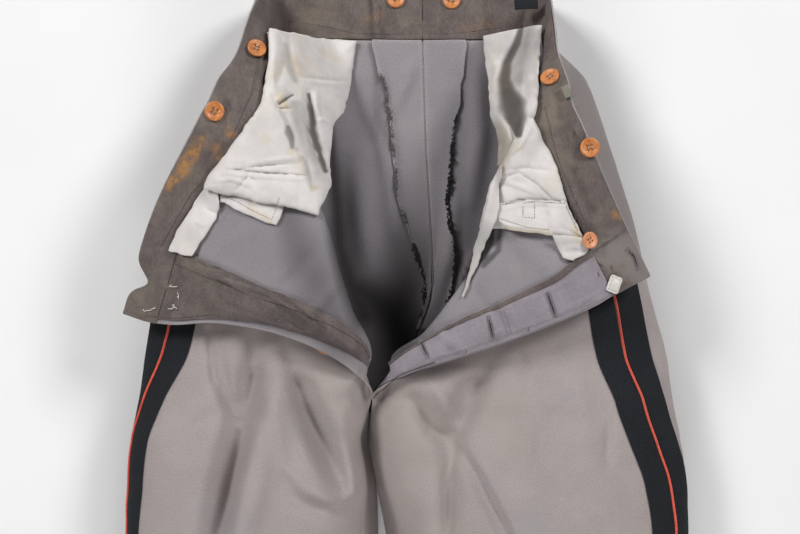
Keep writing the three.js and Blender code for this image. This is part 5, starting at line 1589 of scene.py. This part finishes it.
loopLook = {"rise": 1.6, "thick": 1.1, "columns": 5, "rows": 22}
place, size = nodeFrame("belt_loop")
bm = bmesh.new()
bmesh.ops.create_grid(bm, x_segments=loopLook["rows"], y_segments=loopLook["columns"], size=0.5)
for v in bm.verts:  # sewn down at both ends, standing off between them
    share = v.co.x + 0.5
    side = v.co.y * 2
    v.co.z = (loopLook["rise"] * math.sin(math.pi * share) ** 0.6 - 0.35 * side ** 4) * metre
bmesh.ops.scale(bm, verts=bm.verts, vec=(size[0], size[1], 1))
bmesh.ops.solidify(bm, geom=bm.faces[:], thickness=-loopLook["thick"] * metre)
bmesh.ops.recalc_face_normals(bm, faces=bm.faces)
for face in bm.faces:
    face.smooth = True
loopMesh = bpy.data.meshes.new("loop")
bm.to_mesh(loopMesh)
bm.free()
loopMesh.transform(place)
addPiece("beltLoop", loopMesh, facingCloths["loop"], ["belt_loop"])
print("hook and belt loop ready")


# stitches, buttonholes, frays and loose threads, laid on what lies under them
skin = overWindow(field, 1.6, np.max)
stitchPaths = {
    "black": [
        [(-24, -118), (-12, -106), (0, -95), (18, -88), (32, -83)],
    ],
    "brown": [
        [(-102, 229), (-75, 225), (-42, 217.5), (-14, 217), (20, 217)],
        [(22, 217), (40, 217), (65, 219), (93, 223)],
        [(-125, 184), (-130, 150), (-143, 119), (-158, 90), (-182, 64), (-210, 18)],
        [(126, 140), (132, 112), (139, 88), (155, 51), (171, 19)],
        [(-226, -43), (-198, -45), (-166, -42), (-131, -46), (-87, -57), (-52, -70), (-32, -84)],
        [(-104, 60), (-111, 41), (-126, 48), (-140, 56), (-153, 62)],
        [(106, 55), (116, 56), (116, 42), (106, 43), (106, 55)],
        [(88, 54), (104, 57), (143, 55)],
        [(86, 42), (110, 34), (129, 32)],
        [(143, 53), (154, 30)],
    ],
    "grey": [
        [(84, -29), (90, -48), (95, -62)],
        [(87, -28), (93, -47), (98, -61)],
        [(2, -95), (36, -79), (87, -62), (140, -42), (188, -24)],
        [(150, 54), (152, 36)],
    ],
}
threadRadii = {
    "black": 0.36, "brown": 0.15, "grey": 0.15, "seam": 0.85,
    "slit": 0.4, "rim": 0.3, "tack": 0.26, "loose": 0.25,
}
buttonholes = [
    {"path": [(18, -65), (21, -72), (24, -78)], "rim": 2.2},
    {"path": [(77, -44), (79, -53), (81, -62)], "rim": 2.1},
    {"path": [(128, -23), (131, -32), (135, -42)], "rim": 2.1},
    {"path": [(199, 15), (205, 9), (209, -1)], "rim": 1.8},
]
tackPaths = [
    [(58, -73), (58, -76)], [(112, -53), (112, -56)], [(173, -5), (174, -8)], [(185, 1), (186, -3)],
    [(174, 3), (178, 0)], [(-60, 92), (-61, 88)], [(150, 118), (152, 114)],
]
whitePaths = [
    [(-203, -17), (-199, -17.5), (-195, -17)],
    [(-195, -22), (-194, -28)],
    [(-226, -39), (-221, -38), (-216, -36)],
    [(-204, -37), (-199, -36)],
    [(-200, -33), (-196, -37)],
]


def laidPath(path, step=0.8, lift=0.15):
    path = np.array(path, float)
    run = np.concatenate([[0], np.cumsum(np.linalg.norm(np.diff(path, axis=0), axis=1))])
    along = np.linspace(0, run[-1], max(int(run[-1] / step) + 1, 3))
    x, y = (np.interp(along, run, path[:, k]) for k in (0, 1))
    return np.stack([x, y, readField(skin, x, y) + lift], axis=-1)


def dashes(path, long=2.3, gap=0.9):  # machine stitches
    line = laidPath(path, 0.55)
    take, skip = int(long / 0.55), max(int(gap / 0.55), 1)
    result = []
    for i in range(0, len(line) - take, take + skip):
        stitch = line[i:i + take + 1].copy()
        stitch[[0, -1], 2] -= 0.45
        result.append(stitch)
    return result


def frays(edge, outward, look):  # clumps of cut threads along an open edge
    run = np.concatenate([[0], np.cumsum(np.linalg.norm(np.diff(edge, axis=0), axis=1))])
    result = []
    along = 1.0
    while along < run[-1]:
        fullness = float(np.clip(0.55 + 0.6 * unevenness(np.array([along, 0.0, 0.0]), 11, 81), 0.05, 1))
        for _ in range(int(round(look["threads"] * fullness * random.uniform(0.5, 1.5)))):
            spot = along + random.gauss(0, look["clump"])
            here = np.array([np.interp(spot, run, edge[:, k]) for k in range(3)])
            away = np.array([np.interp(spot, run, outward[:, k]) for k in range(3)])
            onward = np.array([-away[1], away[0], 0])
            lean = random.gauss(0, 1.1)
            ray = unit(away * random.uniform(0.1, 1) + onward * lean)
            bent = unit(ray + onward * random.uniform(-1.4, 1.4))
            long = random.uniform(0.3, 1) * look["reach"] * (0.5 + 0.5 * fullness)
            start = here - away * random.uniform(0.2, 2.8) + (0, 0, 0.35)
            middle = start + ray * long * 0.5 + (0, 0, random.uniform(0.1, 0.8))
            result.append([start, middle, middle + bent * long * 0.5 + (0, 0, random.uniform(-0.5, 0.3))])
        along += look["every"] * random.uniform(0.5, 1.6)
    return result


for kind, paths in stitchPaths.items():
    lines = [stitch for path in paths for stitch in dashes(path)]
    threadPiece("stitches_" + kind + "Thread", lines, threadRadii[kind], threads[kind])
seatSeam = laidPath([(21, 210), (22, 176), (24, 117), (28, 51), (31, -14), (20, -48)], 1.5, -0.75)
threadPiece("seatSeamLine", [seatSeam], threadRadii["seam"], threads["seam"])
slits, rims = [], []
for hole in buttonholes:
    line = laidPath(hole["path"], 0.6, 0.05)
    slits.append(line[3:-3] + (0, 0, 0.1))
    slits.append(line[8:-8] + (0.35, 0.1, 0.1))
    across = unit(np.gradient(line, axis=0))[:, [1, 0, 2]] * (1, -1, 0)
    for side in (-1, 1):
        for i in range(0, len(line), 2):
            a = line[i] + across[i] * side * 0.35 + (0, 0, 0.1)
            b = line[i] + across[i] * side * hole["rim"] * random.uniform(0.85, 1.15)
            rims.append([a, (a + b) / 2 + (0, 0, 0.35), b])
    for end in (0, -1):
        for k in np.linspace(-1, 1, 5):
            a = line[end] + across[end] * k * 0.5
            out = unit(line[end] - line[len(line) // 2])
            rims.append([a, a + out * 0.8 + (0, 0, 0.3), a + out * 1.5 + across[end] * k * 0.6])
threadPiece("buttonholeSlits", slits, threadRadii["slit"], threads["black"])
threadPiece("buttonholeRims", rims, threadRadii["rim"], threads["hole"])
tacks = [laidPath(path, 1.2) + (random.uniform(-0.3, 0.3), 0, 0.1) for path in tackPaths for _ in range(2)]
threadPiece("tacks", tacks, threadRadii["tack"], threads["brown"])
loose = []
for path in whitePaths:
    line = laidPath(path, 1.0, 0.5)
    drift = [0.5 * unevenness(line, 2.2, 71), 0.5 * unevenness(line, 2.2, 72), 0.5 + 0.5 * unevenness(line, 3, 73)]
    line += np.stack(drift, axis=-1)
    loose.append(line)
    for _ in range(2):
        at = line[random.randrange(len(line))]
        tip = at + (random.uniform(-1.8, 1.8), random.uniform(-1.8, 1.8), random.uniform(0.2, 1.2))
        loose.append([at, (at + tip) / 2 + (0, 0, 0.5), tip])
threadPiece("whiteThreadRemains", loose, threadRadii["loose"], threads["white"])
frayLooks = {
    "seatFrays_right": {"side": "right", "from": 812, "to": 1002, "every": 2.3, "threads": 6, "clump": 0.7,
                        "reach": 5,
                        "thread": "black", "radius": 0.4},
    "seatFrays_left": {"side": "left", "from": 812, "to": 884, "every": 1.9, "threads": 10, "clump": 1.0,
                       "reach": 5.2,
                       "thread": "brown", "radius": 0.42},
    "seatFringe_left": {"side": "left", "from": 884, "to": 1040, "every": 2.2, "threads": 5, "clump": 1.2,
                        "reach": 5,
                        "thread": "dust", "radius": 0.3},
}
for name, look in frayLooks.items():
    inlay = surfaces["seatInlay_" + look["side"]]
    rows = [i for i, at in enumerate(inlay["grid"]["at"][:, 0]) if look["from"] < at < look["to"]]
    edge, back = inlay["p"][rows, -2], inlay["p"][rows, -8]
    lines = frays(edge, unit((edge - back) * (1, 1, 0.2)), look)
    threadPiece(name, lines, look["radius"], threads[look["thread"]])
print("stitches and frays ready")


# the table and the light
tableSizes = {"half": 4.0}
bm = bmesh.new()
bmesh.ops.create_grid(bm, x_segments=1, y_segments=1, size=tableSizes["half"])
bmesh.ops.translate(bm, verts=bm.verts, vec=(0, 0, -0.0005))
tableMesh = bpy.data.meshes.new("paleTable")
bm.to_mesh(tableMesh)
bm.free()
tableMesh.materials.append(makeFloor())
table = bpy.data.objects.new("paleTable", tableMesh)
bpy.context.scene.collection.objects.link(table)

lamps = [
    {"name": "upperLeft", "at": (-1.85, 1.85, 2.05), "size": 0.9, "power": 66, "aim": (0, 0.1, 0)},
    {"name": "upperRight", "at": (1.85, 1.85, 2.05), "size": 0.9, "power": 60, "aim": (0, 0.1, 0)},
    {"name": "lowFront", "at": (0, -2.0, 1.4), "size": 1.3, "power": 33, "aim": (0, -0.3, 0)},
]
worldStrength = 0.1
for lamp in lamps:
    light = bpy.data.lights.new(lamp["name"], "AREA")
    light.shape = "SQUARE"
    light.size = lamp["size"]
    light.energy = lamp["power"]
    holder = bpy.data.objects.new(lamp["name"], light)
    holder.location = lamp["at"]
    aim = Vector(lamp["aim"]) - Vector(lamp["at"])
    holder.rotation_euler = aim.to_track_quat("-Z", "Y").to_euler()
    bpy.context.scene.collection.objects.link(holder)
world = bpy.data.worlds.new("studio")
world.use_nodes = True
background = world.node_tree.nodes["Background"]
background.inputs[0].default_value = (1, 1, 1, 1)
background.inputs[1].default_value = worldStrength
bpy.context.scene.world = world
print("table and light ready")
